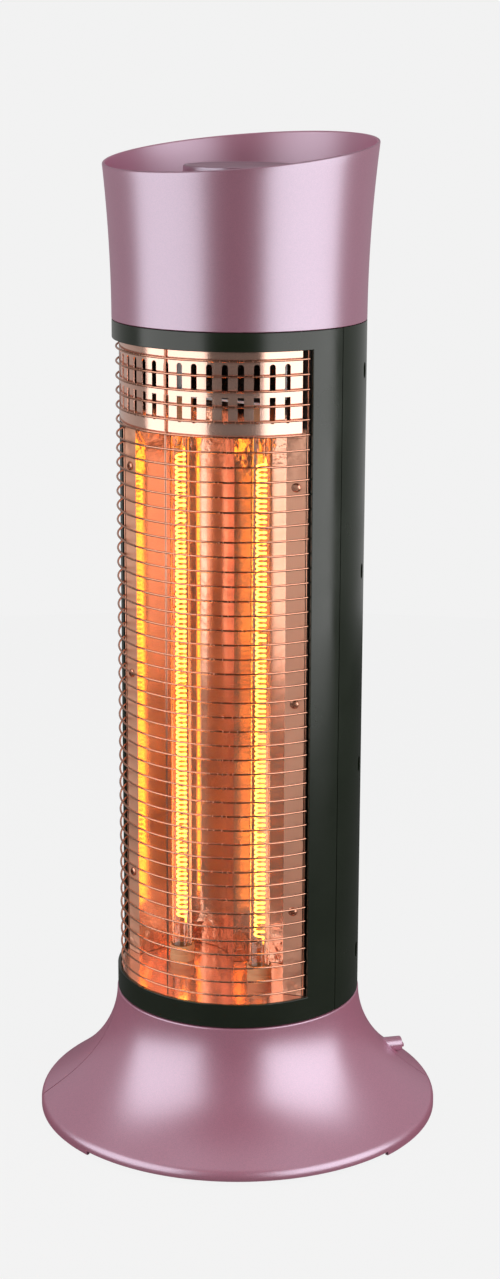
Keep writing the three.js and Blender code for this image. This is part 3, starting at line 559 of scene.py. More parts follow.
def coil_tree():
    """A wound wire between two straight leads."""
    steps = ShapeGroup(
        "wound coil", Turns=10.0, Coil_Radius=0.003, Wire_Radius=0.0005, Low=0.0, High=1.0,
        Lead_Low=0.0, Lead_High=1.0,
    )
    given = steps.given
    radius = given["Coil Radius"]
    spiral = steps.shape(
        "CurveSpiral", Resolution=COIL_POINTS, Rotations=given["Turns"], Start_Radius=radius,
        End_Radius=radius, Height=steps.calc("SUBTRACT", given["High"], given["Low"]),
    )
    ends = (("Lead Low", "Low"), ("High", "Lead High"))
    curves = [steps.upright(given[low], given[high], x=radius) for low, high in ends]
    curves.append(steps.shifted(spiral, z=given["Low"]))
    return steps.finished(steps.joined(*(steps.wire(curve, COIL_SIDES) for curve in curves)))


def screw_tree():
    """Pan heads with a cross recess, one on each point, facing along the point's outward attribute."""
    crown_share, recess_share = 0.7, 1.1
    steps = ShapeGroup("cross head screws", Head_Radius=0.003, Head_Height=0.002, Recess_Width=0.001)
    given, calc = steps.given, steps.calc
    radius, height, across = given["Head Radius"], given["Head Height"], given["Recess Width"]
    stem = calc("MULTIPLY", height, 0.5)
    flat = steps.shifted(steps.rod(radius, stem, SCREW_SIDES), z=calc("MULTIPLY", height, 0.25))
    top = calc("MULTIPLY", radius, crown_share)
    cone = {"Vertices": SCREW_SIDES, "Radius_Top": top, "Radius_Bottom": radius, "Depth": stem}
    head = steps.merged(flat, steps.shifted(steps.shape("MeshCone", **cone), z=stem))
    length = calc("MULTIPLY", radius, recess_share)
    sides = ((length, across), (across, length))
    bars = [steps.shifted(steps.block(x, y, height), z=height) for x, y in sides]
    outward = steps.shape("InputNamedAttribute", data_type="FLOAT_VECTOR", Name="outward")
    facing = steps.get("FunctionNodeAlignRotationToVector", axis="Z", Vector=outward)
    return steps.finished(steps.copied(steps.cut(head, *bars), given["Shape"], facing))


def slot_cutter(steps, width, low, high, radius, round_low=True, round_high=True):
    """An upright opening's shape, in front of the axis, with its chosen ends rounded."""
    calc = steps.calc
    depth = CUTTER_DEPTH * MM
    half = calc("MULTIPLY", width, 0.5)
    start = calc("ADD", low, half) if round_low else low
    stop = calc("SUBTRACT", high, half) if round_high else high
    middle = calc("MULTIPLY", calc("ADD", start, stop), 0.5)
    back = calc("MULTIPLY", radius, -1.0)
    block = steps.block(width, depth, calc("SUBTRACT", stop, start))
    parts = [steps.shifted(block, y=back, z=middle)]
    for height, is_round in ((start, round_low), (stop, round_high)):
        if is_round:
            parts.append(steps.shifted(steps.rod(half, depth, SLOT_SIDES), y=back, z=height, turn=LAID))
    return steps.merged(*parts)


def slot_tree():
    """Cuts one row of upright slots in a curved band, rounded at one end."""
    steps = ShapeGroup(
        "slotted band", Columns=3, Pitch=0.1, Slot_Width=0.004, Low=0.0, High=1.0, Band_Radius=0.08,
        Round_Top=False,
    )
    given = steps.given
    sizes = [given[label] for label in ("Slot Width", "Low", "High", "Band Radius")]
    cutters = {
        "False": slot_cutter(steps, *sizes, round_high=False),
        "True": slot_cutter(steps, *sizes, round_low=False),
    }
    cutter = steps.shape("Switch", input_type="GEOMETRY", Switch=given["Round Top"], **cutters)
    slots = steps.fanned(cutter, given["Columns"], given["Pitch"])
    return steps.finished(steps.cut(given["Shape"], steps.real(slots)))


def well_tree():
    """Adds screw wells to the back housing: cups inside the wall and pockets into them."""
    steps = ShapeGroup(
        "screw wells", Rows=4, Lowest=0.1, Pitch=0.1, Angle=1.9, Well_Width=0.006, Well_Height=0.01,
        Wall=0.003, Back_Radius=0.07, Floor_Radius=0.07, Skin_Radius=0.08, Hole_Radius=0.0015,
    )
    given, calc = steps.given, steps.calc
    skin, floor, back = given["Skin Radius"], given["Floor Radius"], given["Back Radius"]
    width, height = given["Well Width"], given["Well Height"]
    spots = steps.levels(given["Rows"], given["Lowest"], given["Pitch"])
    turns = [steps.vector(z=calc("MULTIPLY", given["Angle"], side)) for side in (1.0, -1.0)]

    def on_both_sides(shape):
        return steps.real(steps.joined(*(steps.copied(shape, spots, turn) for turn in turns)))

    margin = calc("MULTIPLY", given["Wall"], 2.0)
    cup = steps.block(calc("ADD", width, margin), calc("SUBTRACT", skin, back), calc("ADD", height, margin))
    cup = steps.shifted(cup, y=calc("MULTIPLY", calc("ADD", skin, back), -0.5))
    low, high = (calc("MULTIPLY", height, share) for share in (-0.5, 0.5))
    pocket = slot_cutter(steps, width, low, high, calc("ADD", floor, CUTTER_DEPTH / 2 * MM))
    bore = steps.rod(given["Hole Radius"], BORE_DEPTH * MM, BORE_SIDES)
    bore = steps.shifted(bore, y=calc("MULTIPLY", floor, -1.0), turn=LAID)
    shape = steps.merged(given["Shape"], on_both_sides(cup))
    for tool in (pocket, bore):
        shape = steps.cut(shape, on_both_sides(tool))
    return steps.finished(shape)


# Surface effects that several finishes share
class EffectGroup(Group):
    """The steps of a surface effect, worked out from a place."""

    def __init__(self, name, **inputs):
        super().__init__(name, "ShaderNodeTree", {"Place": "Vector", **spaced(inputs)})

    def noise(self, scale, detail, place=None):
        place = place or self.given["Place"]
        return self.get("ShaderNodeTexNoise", Vector=place, Scale=scale, Detail=detail)


def flecks_group():
    """Pearl flakes under a lacquer, and the lacquer's faint ripple."""
    cloud_scale = 14.0
    steps = EffectGroup("pearl flecks", Flake_Scale=2500.0, Ripple_Scale=300.0)
    given = steps.given
    cells = steps.add("ShaderNodeTexVoronoi", Vector=given["Place"], Scale=given["Flake Scale"])
    flake = steps.get("ShaderNodeSeparateColor", cells.outputs["Color"])
    ripple = steps.noise(given["Ripple Scale"], 1.0)
    return steps.ended("Float", Flake=flake, Ripple=ripple, Cloud=steps.noise(cloud_scale, 3.0))


def grain_group():
    """A moulded or cast skin: fine grain and broad smudges."""
    steps = EffectGroup("skin grain", Grain_Scale=900.0, Smudge_Scale=20.0)
    grain = steps.noise(steps.given["Grain Scale"], 4.0)
    return steps.ended("Float", Grain=grain, Smudge=steps.noise(steps.given["Smudge Scale"], 5.0))


def rolled_group():
    """Rolled sheet or drawn wire: long streaks and slow waves."""
    wave_scale = 24.0
    steps = EffectGroup("rolled streaks", Stretch=(1.0, 1.0, 0.04), Streak_Scale=700.0)
    given = steps.given
    stretched = steps.get("ShaderNodeVectorMath", given["Place"], given["Stretch"], operation="MULTIPLY")
    streak = steps.noise(given["Streak Scale"], 2.0, stretched)
    return steps.ended("Float", Streak=streak, Wave=steps.noise(wave_scale, 1.0))


FLECKS = flecks_group()
GRAIN = grain_group()
ROLLED = rolled_group()


# Finishes
class Finish(Steps):
    """A material on one Principled shader, with the shared effects wired to it."""

    def __init__(self, name, **constants):
        self.material = bpy.data.materials.new(name)
        self.material.use_nodes = True
        super().__init__(self.material.node_tree)
        self.shader = self.tree.nodes["Principled BSDF"]
        self.place = self.add("ShaderNodeTexCoord").outputs["Object"]
        self.feed(**constants)

    def feed(self, **sockets):
        """Feeds the shader's own sockets with constants or with what other nodes give."""
        self.fill(self.shader, spaced(sockets))

    def effect(self, group, **values):
        return self.add("ShaderNodeGroup", node_tree=group, Place=self.place, **values).outputs

    def axis(self, name):
        return self.add("ShaderNodeSeparateXYZ", self.place).outputs[name]

    def away_from(self, height):
        """How far above or below a height the surface is."""
        return self.calc("ABSOLUTE", self.calc("SUBTRACT", self.axis("Z"), height * MM))

    def ranged(self, value, low, high, start=0.35, stop=0.65):
        ends = {"From_Min": start, "From_Max": stop, "To_Min": low, "To_Max": high}
        return self.get("ShaderNodeMapRange", Value=value, **ends)

    def coloured(self, mask, first, second):
        """Mixes two colours by a mask. A colour is three numbers or another node's socket."""
        mix = self.add("ShaderNodeMix", data_type="RGBA")
        sockets = {socket.identifier: socket for socket in (*mix.inputs, *mix.outputs)}
        for key, value in (("Factor_Float", mask), ("A_Color", first), ("B_Color", second)):
            if isinstance(value, bpy.types.NodeSocket):
                self.tree.links.new(value, sockets[key])
            else:
                sockets[key].default_value = (*value, 1)
        return sockets["Result_Color"]

    def finished(self, colour, roughness, height, strength, depth):
        """Feeds the shader its colour, roughness and bump, and gives the material."""
        bump = self.get("ShaderNodeBump", Height=height, Strength=strength, Distance=depth * MM)
        self.feed(Base_Color=colour, Roughness=roughness, Normal=bump)
        return self.material


def pearl_lacquer(name, dark, light, inside=None):
    """Pink lacquer with pearl flakes. A colour for the inside is painted light there, and the inside is
    made a little rougher.
    """
    extra_roughness = 0.1
    finish = Finish(name, Metallic=0.05, IOR=3.6, Specular_Tint=(0.85, 0.85, 1.0, 1))
    flecks = finish.effect(FLECKS)
    colour = finish.coloured(flecks["Flake"], dark, light)
    roughness = finish.ranged(flecks["Cloud"], 0.3, 0.36, start=0.1, stop=0.9)
    if inside:
        level = finish.get("ShaderNodeVectorMath", finish.place, (1, 1, 0), operation="MULTIPLY")
        normal = finish.add("ShaderNodeTexCoord").outputs["Normal"]
        outwards = finish.add("ShaderNodeVectorMath", level, normal, operation="DOT_PRODUCT")
        is_inside = finish.calc("LESS_THAN", outwards.outputs["Value"], 0.0)
        # Painted light: the inside of the wall takes its own colour, lighter than the outside's.
        colour = finish.coloured(is_inside, colour, inside)
        roughness = finish.calc("ADD", roughness, finish.calc("MULTIPLY", is_inside, extra_roughness))
    return finish.finished(colour, roughness, flecks["Ripple"], strength=0.05, depth=0.05)


def gloss_black():
    finish = Finish("gloss black", IOR=1.53)
    skin = finish.effect(GRAIN, Grain_Scale=260.0)
    colour = finish.coloured(skin["Smudge"], (0.008, 0.012, 0.006), (0.014, 0.02, 0.011))
    roughness = finish.ranged(skin["Smudge"], 0.2, 0.28)
    return finish.finished(colour, roughness, skin["Grain"], strength=0.04, depth=0.05)


def moulded(name, dark, light, smooth, rough, grain=900.0, smudge=20.0, bump=(0.25, 0.08), **constants):
    """A moulded or cast skin, whose gloss varies with its grain."""
    finish = Finish(name, **constants)
    skin = finish.effect(GRAIN, Grain_Scale=grain, Smudge_Scale=smudge)
    colour = finish.coloured(skin["Smudge"], dark, light)
    return finish.finished(colour, finish.ranged(skin["Grain"], smooth, rough), skin["Grain"], *bump)


def rolled_metal(name, dark, light, smooth, rough, ripple, by="Streak", metallic=1.0):
    """Bare sheet or wire, whose gloss varies with its streaks or its waves."""
    finish = Finish(name, Metallic=metallic)
    rolled = finish.effect(ROLLED)
    colour = finish.coloured(rolled["Wave"], dark, light)
    return finish.finished(colour, finish.ranged(rolled[by], smooth, rough), rolled["Wave"], 0.5, ripple)


def reflector_copper():
    """The reflector's sheet: crumpled near its ends, with matt flanges and painted shade, nearly black,
    behind the band.
    """
    shade_edge, matt_roughness = 4.0, 0.36
    smooth_half, crumple_edge = 150.0, 45.0
    wave_height, crumple_height = 0.3, 5.0
    finish = Finish("copper sheet of the reflector", Metallic=0.82)
    calc = finish.calc
    rolled = finish.effect(ROLLED)
    dents = finish.effect(GRAIN, Smudge_Scale=55.0)
    # Painted shade: above the band's lower edge the sheet is painted nearly black, standing in for the
    # shade behind the band.
    painted_shade_behind_band = finish.ranged(finish.axis("Z"), 0.0, 1.0, SHROUD_LOW * MM, (SHROUD_LOW + shade_edge) * MM)
    clean = finish.coloured(rolled["Wave"], (0.85, 0.42, 0.28), (0.9, 0.52, 0.36))
    colour = finish.coloured(painted_shade_behind_band, clean, (0.03, 0.018, 0.014))
    is_matt = calc("GREATER_THAN", calc("ABSOLUTE", finish.axis("X")), FLANGE_BEND[0] * MM)
    extra = calc("MULTIPLY", is_matt, matt_roughness)
    roughness = calc("ADD", finish.ranged(rolled["Wave"], 0.12, 0.2), extra)
    from_middle = finish.away_from((WINDOW_LOW + SHROUD_LOW) / 2)
    start, stop = smooth_half * MM, (smooth_half + crumple_edge) * MM
    crumpled = finish.ranged(from_middle, 0.0, crumple_height, start, stop)
    waves = calc("MULTIPLY", rolled["Wave"], wave_height)
    height = calc("ADD", waves, calc("MULTIPLY", dents["Smudge"], crumpled))
    return finish.finished(colour, roughness, height, strength=1.0, depth=1.0)


def quartz_glass():
    glass = {"Metallic": 0.0, "Transmission_Weight": 1.0, "IOR": 1.46, "Base_Color": (1.0, 0.97, 0.93, 1)}
    finish = Finish("quartz glass", **glass)
    skin = finish.effect(GRAIN, Grain_Scale=120.0)
    finish.feed(Roughness=finish.ranged(skin["Smudge"], 0.0, 0.03))
    return finish.material


def hot_filament():
    """The wound part glows. The leads beyond it stay dull red."""
    fade = 6.0
    coal = {"Roughness": 0.6, "Base_Color": (0.1, 0.06, 0.03, 1), "Emission_Strength": 9.0}
    finish = Finish("hot carbon filament", **coal)
    skin = finish.effect(GRAIN, Grain_Scale=2500.0, Smudge_Scale=30.0)
    glow = finish.coloured(skin["Smudge"], (1.0, 0.36, 0.03), (1.0, 0.44, 0.045))
    half = (COIL_HIGH - COIL_LOW) / 2
    from_middle = finish.away_from((COIL_LOW + COIL_HIGH) / 2)
    cooler = finish.ranged(from_middle, 0.0, 1.0, half * MM, (half + fade) * MM)
    finish.feed(Emission_Color=finish.coloured(cooler, glow, (0.03, 0.004, 0.0)))
    return finish.material


PINK = pearl_lacquer("pearl pink lacquer", (0.425, 0.132, 0.2), (0.56, 0.178, 0.265))
# Painted shade: the cup takes a darker copy of the pink lacquer, since its upright wall gets less light
# than the base's slope.
SHADED_PINK = pearl_lacquer(
    # Painted light: the inside colour is lighter and more saturated than the outside's.
    "pearl pink lacquer, deeper", (0.29, 0.09, 0.135), (0.38, 0.122, 0.18), inside=(0.55, 0.14, 0.23)
)
# Painted shade: the dial takes a darker copy of the pink lacquer, standing in for the shade it sits in, low
# in the cup.
SHADED_DIAL_PINK = pearl_lacquer("pearl pink lacquer of the dial", (0.27, 0.07, 0.11), (0.34, 0.09, 0.135))
BLACK = gloss_black()
PLASTIC = moulded("moulded dark plastic", (0.018, 0.018, 0.02), (0.03, 0.03, 0.032), 0.45, 0.58)
RUBBER = moulded("soft black rubber", (0.008, 0.008, 0.008), (0.02, 0.02, 0.02), 0.75, 0.88, 1400.0)
NYLON = moulded("white nylon", (0.62, 0.6, 0.54), (0.72, 0.7, 0.64), 0.4, 0.53)
# Painted glow: the caps' colour is tinted orange, standing in for the filaments' light falling on them.
GLOW_TINTED_CERAMIC = moulded("fired ceramic", (0.72, 0.36, 0.18), (0.8, 0.42, 0.22), 0.55, 0.68, 1800.0)
IRON = moulded(
    "cast iron", (0.05, 0.05, 0.055), (0.12, 0.11, 0.105), 0.5, 0.75, 500.0, 60.0, (0.8, 0.3), Metallic=0.8
)
STEEL = rolled_metal("zinc plated steel", (0.42, 0.43, 0.45), (0.56, 0.57, 0.58), 0.28, 0.42, 0.1)
DARK_STEEL = rolled_metal("blackened steel", (0.03, 0.03, 0.032), (0.07, 0.068, 0.066), 0.3, 0.45, 0.1)
COPPER = rolled_metal(
    "polished copper sheet", (0.86, 0.5, 0.39), (0.91, 0.6, 0.48), 0.12, 0.2, 0.6, by="Wave", metallic=0.82
)
REFLECTOR_COPPER = reflector_copper()
WIRE_COPPER = rolled_metal("copper plated wire", (0.6, 0.29, 0.19), (0.7, 0.36, 0.25), 0.16, 0.28, 0.05)
GLOW = hot_filament()
FINISHES = {
    "pink_metallic": PINK,
    "gloss_black": BLACK,
    "dark_plastic": PLASTIC,
    "foot_rubber": RUBBER,
    "ballast_iron": IRON,
    "white_nylon": NYLON,
    "grey_steel": STEEL,
    "copper_wire": WIRE_COPPER,
    "copper_mirror": COPPER,
    "lamp_glass": quartz_glass(),
    "carbon_filament": GLOW,
    "ceramic": GLOW_TINTED_CERAMIC,
}


# Base skin: a rolled rim and a slope that steepens up to the neck
def roll_point(inset, turn):
    radius = RIM_ROLL - inset
    return (ROLL_CENTRE + radius * cos(turn), SKIRT_TOP + radius * sin(turn))


def flare_line():
    """The skin's slope from the neck to the rim's roll: steep first, easing to its flattest at the rim."""
    steps, ease = 48, 1.67
    turns = [FLARE_END * (1 - (1 - share) ** ease) for share in spread(0, 1, steps)]
    line = [(0.0, 0.0)]
    for before, after in zip(turns, turns[1:]):
        middle = (before + after) / 2
        line.append((line[-1][0] + sin(middle), line[-1][1] + cos(middle)))
    far, low = roll_point(0, FLARE_END)
    wide, tall = (far - NECK_RADIUS) / line[-1][0], (BASE_HEIGHT - low) / line[-1][1]
    return [(NECK_RADIUS + x * wide, BASE_HEIGHT - y * tall, turn) for (x, y), turn in zip(line, turns)]


def skin_radius(height):
    """How far out the skin's slope is at a height."""
    line = flare_line()
    for (near, high, _), (far, low, _) in zip(line, line[1:]):
        if low <= height <= high:
            return near + (far - near) * (high - height) / (high - low)


def skin_outline(bottom, groove=0.0):
    """The skin's section. At the ends of each half its outside is cut back by the groove."""
    lip, bevel = 0.9, 0.4
    roll_steps, lip_steps, inside_steps = 8, 6, 2
    line = flare_line()
    outside = [(BASE_RADIUS - bevel, bottom), (BASE_RADIUS, bottom + bevel)]
    outside += [roll_point(0, turn) for turn in spread(0, FLARE_END, roll_steps)]
    outside += [(x, z) for x, z, _ in reversed(line[:-1]) if z < BASE_HEIGHT - lip]
    for turn in spread(0, pi / 2, lip_steps):
        outside.append((NECK_RADIUS - lip + lip * cos(turn), BASE_HEIGHT - lip + lip * sin(turn)))
    outline = [(BASE_RADIUS - SKIN, bottom)]
    outline += [(x - groove, max(z - groove / 2, bottom)) for x, z in outside]
    outline += [(FLANGE_INNER, BASE_HEIGHT), (FLANGE_INNER, BASE_HEIGHT - SKIN)]
    inside = [(x - SKIN * cos(turn), z - SKIN * sin(turn)) for x, z, turn in line[::4]]
    outline += [(x, z) for x, z in inside if z < BASE_HEIGHT - SKIN - lip]
    outline += [roll_point(SKIN, turn) for turn in spread(FLARE_END, 0, inside_steps)][1:]
    return outline


def skin_half(name, first, last):
    """One half of the base skin, with stepped ends. The notch under the front rim has sharp ends."""
    notch = (BASE_TURN - NOTCH_HALF, BASE_TURN + NOTCH_HALF)
    step, groove_depth, groove_width = radians(1.5), 1.2, 0.35
    ledge, tiny = groove_width / BASE_RADIUS, radians(0.02)
    angles = spread(first + ledge + tiny, last - ledge - tiny, ceil((last - first) / step))
    angles += [first, first + ledge, last - ledge, last]
    for end in notch:
        if first < end < last:
            angles = [angle for angle in angles if abs(angle - end) > tiny * 4] + [end - tiny, end + tiny]
    low, high = skin_outline(SKIRT_BOTTOM), skin_outline(SKIRT_BOTTOM + NOTCH_HEIGHT)
    end = skin_outline(SKIRT_BOTTOM, groove_depth)

    def section(angle):
        if min(angle - first, last - angle) < ledge + tiny / 2:
            return end
        return high if notch[0] < angle < notch[1] else low

    return turned_piece(name, section, sorted(angles), whole=False)


def round_bar(name, radius, near, far, height, angle, fillet=0.0):
    """A round bar that points out from the axis, with its outer end rounded."""
    corners = [(0, near, 0), (radius, near, 0), (radius, far, fillet), (0, far, 0)]
    return pointed_out(turned_solid(name, corners, SMALL_TURN, looped=False), height, angle)


def make_base():
    """The skin's front half with the notch, and its rear half with the knob's and the gland's holes."""
    fit, hole_near, hole_far = 0.3, 90, 150
    gap = SPLIT_GAP / 2 / BASE_RADIUS
    split = BASE_TURN + SPLIT_TURN
    knob_turn = BASE_TURN + KNOB_ANGLE
    gland_turn = BASE_TURN + GLAND_ANGLE
    front = skin_half("base_front_skin", split - pi / 2 + gap, split + pi / 2 - gap)
    rear = skin_half("base_rear_skin", split + pi / 2 + gap, split + 3 * pi / 2 - gap)
    knob_hole = round_bar("knob_hole", KNOB_RADIUS + fit, hole_near, hole_far, KNOB_HEIGHT, knob_turn)
    gland_hole = round_bar("gland_hole", GLAND_RADIUS + fit, hole_near, hole_far, GLAND_HEIGHT, gland_turn)
    carved(rear, knob_hole, gland_hole)
    dressed(front, "base", "pink_metallic", "base_shell")
    dressed(rear, "base", "pink_metallic", "base_rear_cover")
    make_knob(skin_radius(KNOB_HEIGHT) + KNOB_OUT, knob_turn)
    make_gland(skin_radius(GLAND_HEIGHT), gland_turn)


def make_knob(far, turn):
    """The swing knob: a round stem with a ridge across its end."""
    ridge_depth, ridge_width, sunk = 1.2, 2.4, 1
    end = far - ridge_depth
    stem = round_bar("swing_knob_skin", KNOB_RADIUS, far - KNOB_LENGTH, end, KNOB_HEIGHT, turn, 0.9)
    size = (2 * KNOB_RADIUS - ridge_width, 2 * (ridge_depth + sunk), ridge_width)
    ridge = block_piece("ridge", size, (0, sunk - end, KNOB_HEIGHT))
    ridge.data.transform(Matrix.Rotation(turn, 4, "Z"))
    carved(stem, ridge, how="UNION")
    softened(stem, 0.35, segments=3)
    dressed(stem, "knob", "pink_metallic", "swing_knob")


def make_gland(reach, turn):
    """The cord gland: a flanged rubber sleeve with a bore and two ribs outside the skin."""
    flange, rib_start, rib_pitch, rib_width, rib_depth = 2, 1.0, 1.8, 0.7, 0.8
    near = min(hypot(v.co.x, v.co.y) for v in frame["nodes"]["cord_gland"].data.vertices) / MM
    edge, far, waist = GLAND_RADIUS + flange, reach + GLAND_OUT, GLAND_RADIUS - rib_depth
    corners = [(GLAND_BORE, near, 0), (edge, near, 0.4), (edge, near + flange, 0.4)]
    corners.append((GLAND_RADIUS, near + flange, 0))
    for i in range(2):
        low = reach + rib_start + rib_pitch * i
        corners += [(GLAND_RADIUS, low, 0.1), (waist, low, 0.1)]
        corners += [(waist, low + rib_width, 0.1), (GLAND_RADIUS, low + rib_width, 0.1)]
    corners += [(GLAND_RADIUS, far, 0.5), (GLAND_BORE, far, 0.5)]
    sleeve = turned_solid("cord_gland_sleeve", corners, SMALL_TURN)
    dressed(pointed_out(sleeve, GLAND_HEIGHT, turn), "base", "foot_rubber", "cord_gland")


def make_feet():
    """Four rubber pads, each with a ring let into it."""
    groove, slope, outer, inner = 0.6, 0.4, FOOT_RADIUS - 2, FOOT_RADIUS - 4
    corners = [
        (0, FOOT_TOP, 0), (FOOT_RADIUS, FOOT_TOP, 0), (FOOT_RADIUS, 0, 0.8), (outer, 0, 0.2),
        (outer - slope, groove, 0), (inner, groove, 0), (inner - slope, 0, 0.2), (0, 0, 0),
    ]
    for i in range(4):
        x, y, _ = place_on(FOOT_CIRCLE, BASE_TURN + pi / 4 + i * pi / 2)
        pad = moved(turned_solid(f"foot_{i + 1}", corners, SMALL_TURN, looped=False), x, y)
        dressed(pad, "base", "foot_rubber", f"foot_pad_{i + 1}")


def make_plate():
    """The plate under the base, with grooved rings, a bore for the plunger and its screws."""
    groove, slope, width = 0.8, 0.6, 4
    rings = (128, 98, 62, 30)
    bore_height, screw_circle = 10, 80
    corners = [(0, PLATE_TOP, 0), (PLATE_RADIUS, PLATE_TOP, 0.3), (PLATE_RADIUS, PLATE_BOTTOM, 0.3)]
    for radius in rings:
        low, high = PLATE_BOTTOM, PLATE_BOTTOM + groove
        corners += [(radius, low, 0.2), (radius - slope, high, 0.2)]
        corners += [(radius - width + slope, high, 0.2), (radius - width, low, 0.2)]
    corners.append((0, PLATE_BOTTOM, 0))
    plate = turned_solid("base_floor", corners, BROAD_TURN, looped=False)
    x, y, _ = place_on(TIP_DISTANCE, BASE_TURN + TIP_ANGLE)
    bore = [(0, 0, 0), (TIP_BORE, 0, 0), (TIP_BORE, bore_height, 0), (0, bore_height, 0)]
    carved(plate, moved(turned_solid("bore", bore, SMALL_TURN, looped=False), x, y))
    dressed(plate, "base", "dark_plastic", "base_plate")
    places = [place_on(screw_circle, BASE_TURN + i * pi / 3, PLATE_BOTTOM) for i in range(6)]
    screws = screw_row("base_floor_screws", places, [(0, 0, -1)] * 6, STEEL, radius=3.4, height=1.2)
    dressed(screws, "base", "grey_steel")


def screw_row(name, places, directions, finish, radius, height):
    """Screw heads on points, each facing its own way."""
    heads = new_piece(name, places)
    outward = heads.data.attributes.new("outward", "FLOAT_VECTOR", "POINT")
    for i, direction in enumerate(directions):
        outward.data[i].vector = direction
    shaped(heads, SCREWS, finish, {}, Head_Radius=radius, Head_Height=height, Recess_Width=radius / 3)
    return heads


# Tower
def make_shell():
    """The front frame round the window, and the housing behind it."""
    overlap, fit = 1, 0.3
    side_steps, front_steps, level_steps, back_steps = 9, 70, 10, 96
    side = spread(-SEAM_HALF, -WINDOW_HALF, side_steps)
    front = spread(-WINDOW_HALF, WINDOW_HALF, front_steps)
    angles = side + front[1:-1] + [-angle for angle in reversed(side)]
    heights = [TOWER_LOW, *spread(WINDOW_LOW, WINDOW_HIGH, level_steps), TOWER_HIGH]

    def in_window(angle, height):
        return abs(angle) < WINDOW_HALF and WINDOW_LOW < height < WINDOW_HIGH

    wall = curved_panel("window_frame", angles, heights, TUBE_BORE, TUBE, in_window)
    dressed(softened(wall, 0.5, segments=3), "tower", "gloss_black", "front_frame")
    first = SEAM_HALF + SEAM_GAP
    turns = spread(first, 2 * pi - first, back_steps)
    back = curved_panel("back_housing", turns, [TOWER_LOW, TOWER_HIGH], TUBE_BORE, TUBE)
    shaped(
        back, well_tree(), BLACK, {"Rows": WELL_COUNT, "Angle": WELL_ANGLE}, Lowest=WELL_LOWEST,
        Pitch=WELL_PITCH, Well_Width=WELL_WIDTH, Well_Height=WELL_HEIGHT, Wall=WELL_WALL,
        Back_Radius=WELL_BACK, Floor_Radius=WELL_FLOOR, Skin_Radius=TUBE_BORE + overlap,
        Hole_Radius=SCREW_RADIUS + fit,
    )
    dressed(softened(back, 0.4), "tower", "gloss_black", "rear_housing")


def make_well_screws():
    """A screw in each well, just clear of the well's floor."""
    clear = 0.3
    rows = [WELL_LOWEST + WELL_PITCH * row for row in range(WELL_COUNT)]
    spots = [(side * WELL_ANGLE, height) for side in (-1, 1) for height in rows]
    places = [place_on(WELL_FLOOR + clear, angle, height) for angle, height in spots]
    directions = [place_on(1, angle) for angle, _ in spots]
    names = [f"housing_screw_{i + 1}" for i in range(len(spots))]
    screws = screw_row("well_screws", places, directions, DARK_STEEL, radius=2.7, height=1.7)
    dressed(screws, "tower", "grey_steel", *names, finish=DARK_STEEL)


def make_grille():
    grille = new_piece("grille_wires")
    gap = 0.3
    counts = {"Hoops": HOOP_COUNT, "Uprights": UPRIGHT_COUNT, "Half Angle": UPRIGHT_ANGLE}
    shaped(
        grille, grille_tree(), WIRE_COPPER, counts, Lowest=HOOP_LOWEST,
        Pitch=(HOOP_HIGHEST - HOOP_LOWEST) / (HOOP_COUNT - 1), Hoop_Radius=HOOP_RADIUS,
        Upright_Radius=UPRIGHT_RADIUS, Upright_Low=WINDOW_LOW + gap, Upright_High=WINDOW_HIGH - gap,
        Wire_Radius=WIRE,
    )
    dressed(grille, "tower", "copper_wire", "grille")


def reflector_line():
    """Flange, trough, ridge, trough and flange, as one level line."""
    outer_width = FLANGE_BEND[0] - TROUGH_MIDDLE
    outer_depth = TROUGH_BACK - FLANGE_BEND[1]
    inner_depth = TROUGH_BACK - RIDGE_FRONT
    outer_steps, inner_steps = 24, 18
    half = [FLANGE_EDGE]
    for share in spread(1, 0, outer_steps)[:-1]:
        half.append((TROUGH_MIDDLE + outer_width * share, TROUGH_BACK - outer_depth * share**OUTER_POWER))
    for share in spread(0, 1, inner_steps)[:-1]:
        half.append((TROUGH_MIDDLE * (1 - share), TROUGH_BACK - inner_depth * share**INNER_POWER))
    return half + [(0, RIDGE_FRONT)] + [(-x, y) for x, y in reversed(half)]


def make_reflector():
    """The reflector and three screws in each of its flanges."""
    heights = spread(REFLECTOR_LOW, REFLECTOR_HIGH, 2)
    reflector = sheet_piece("bent_reflector", reflector_line(), SHEET, heights)
    dressed(reflector, "tower", "copper_mirror", "reflector", finish=REFLECTOR_COPPER)
    screw_heights = (455, 310, 165)
    places, directions = [], []
    dx, dy = FLANGE_EDGE[0] - FLANGE_BEND[0], FLANGE_EDGE[1] - FLANGE_BEND[1]
    length = hypot(dx, dy)
    for side in (-1, 1):
        facing = (side * dy / length, -dx / length, 0)
        middle = (side * (FLANGE_EDGE[0] + FLANGE_BEND[0]) / 2, (FLANGE_EDGE[1] + FLANGE_BEND[1]) / 2)
        for height in screw_heights:
            places.append((middle[0] + facing[0] * SHEET / 2, middle[1] + facing[1] * SHEET / 2, height))
            directions.append(facing)
    screws = screw_row("reflector_screws", places, directions, WIRE_COPPER, radius=3.0, height=1.6)
    dressed(screws, "tower", "copper_wire")


def make_shroud():
    """The band above the lamps, with two rows of slots."""
    steps = 76
    angles = spread(-SHROUD_HALF, SHROUD_HALF, steps)
    heights = [SHROUD_LOW, SHROUD_HIGH]
    band = curved_panel("slotted_shroud", angles, heights, SHROUD_RADIUS - SHEET, SHROUD_RADIUS)
    tree = slot_tree()
    for low, round_top in ((LOW_SLOT, False), (HIGH_SLOT, True)):
        counts = {"Columns": SLOT_COLUMNS, "Pitch": SLOT_PITCH, "Round Top": round_top}
        shaped(
            band, tree, COPPER, counts, Slot_Width=SLOT_WIDTH, Low=low, High=low + SLOT_HEIGHT,
            Band_Radius=SHROUD_RADIUS,
        )
    dressed(band, "tower", "copper_mirror", "top_shroud")


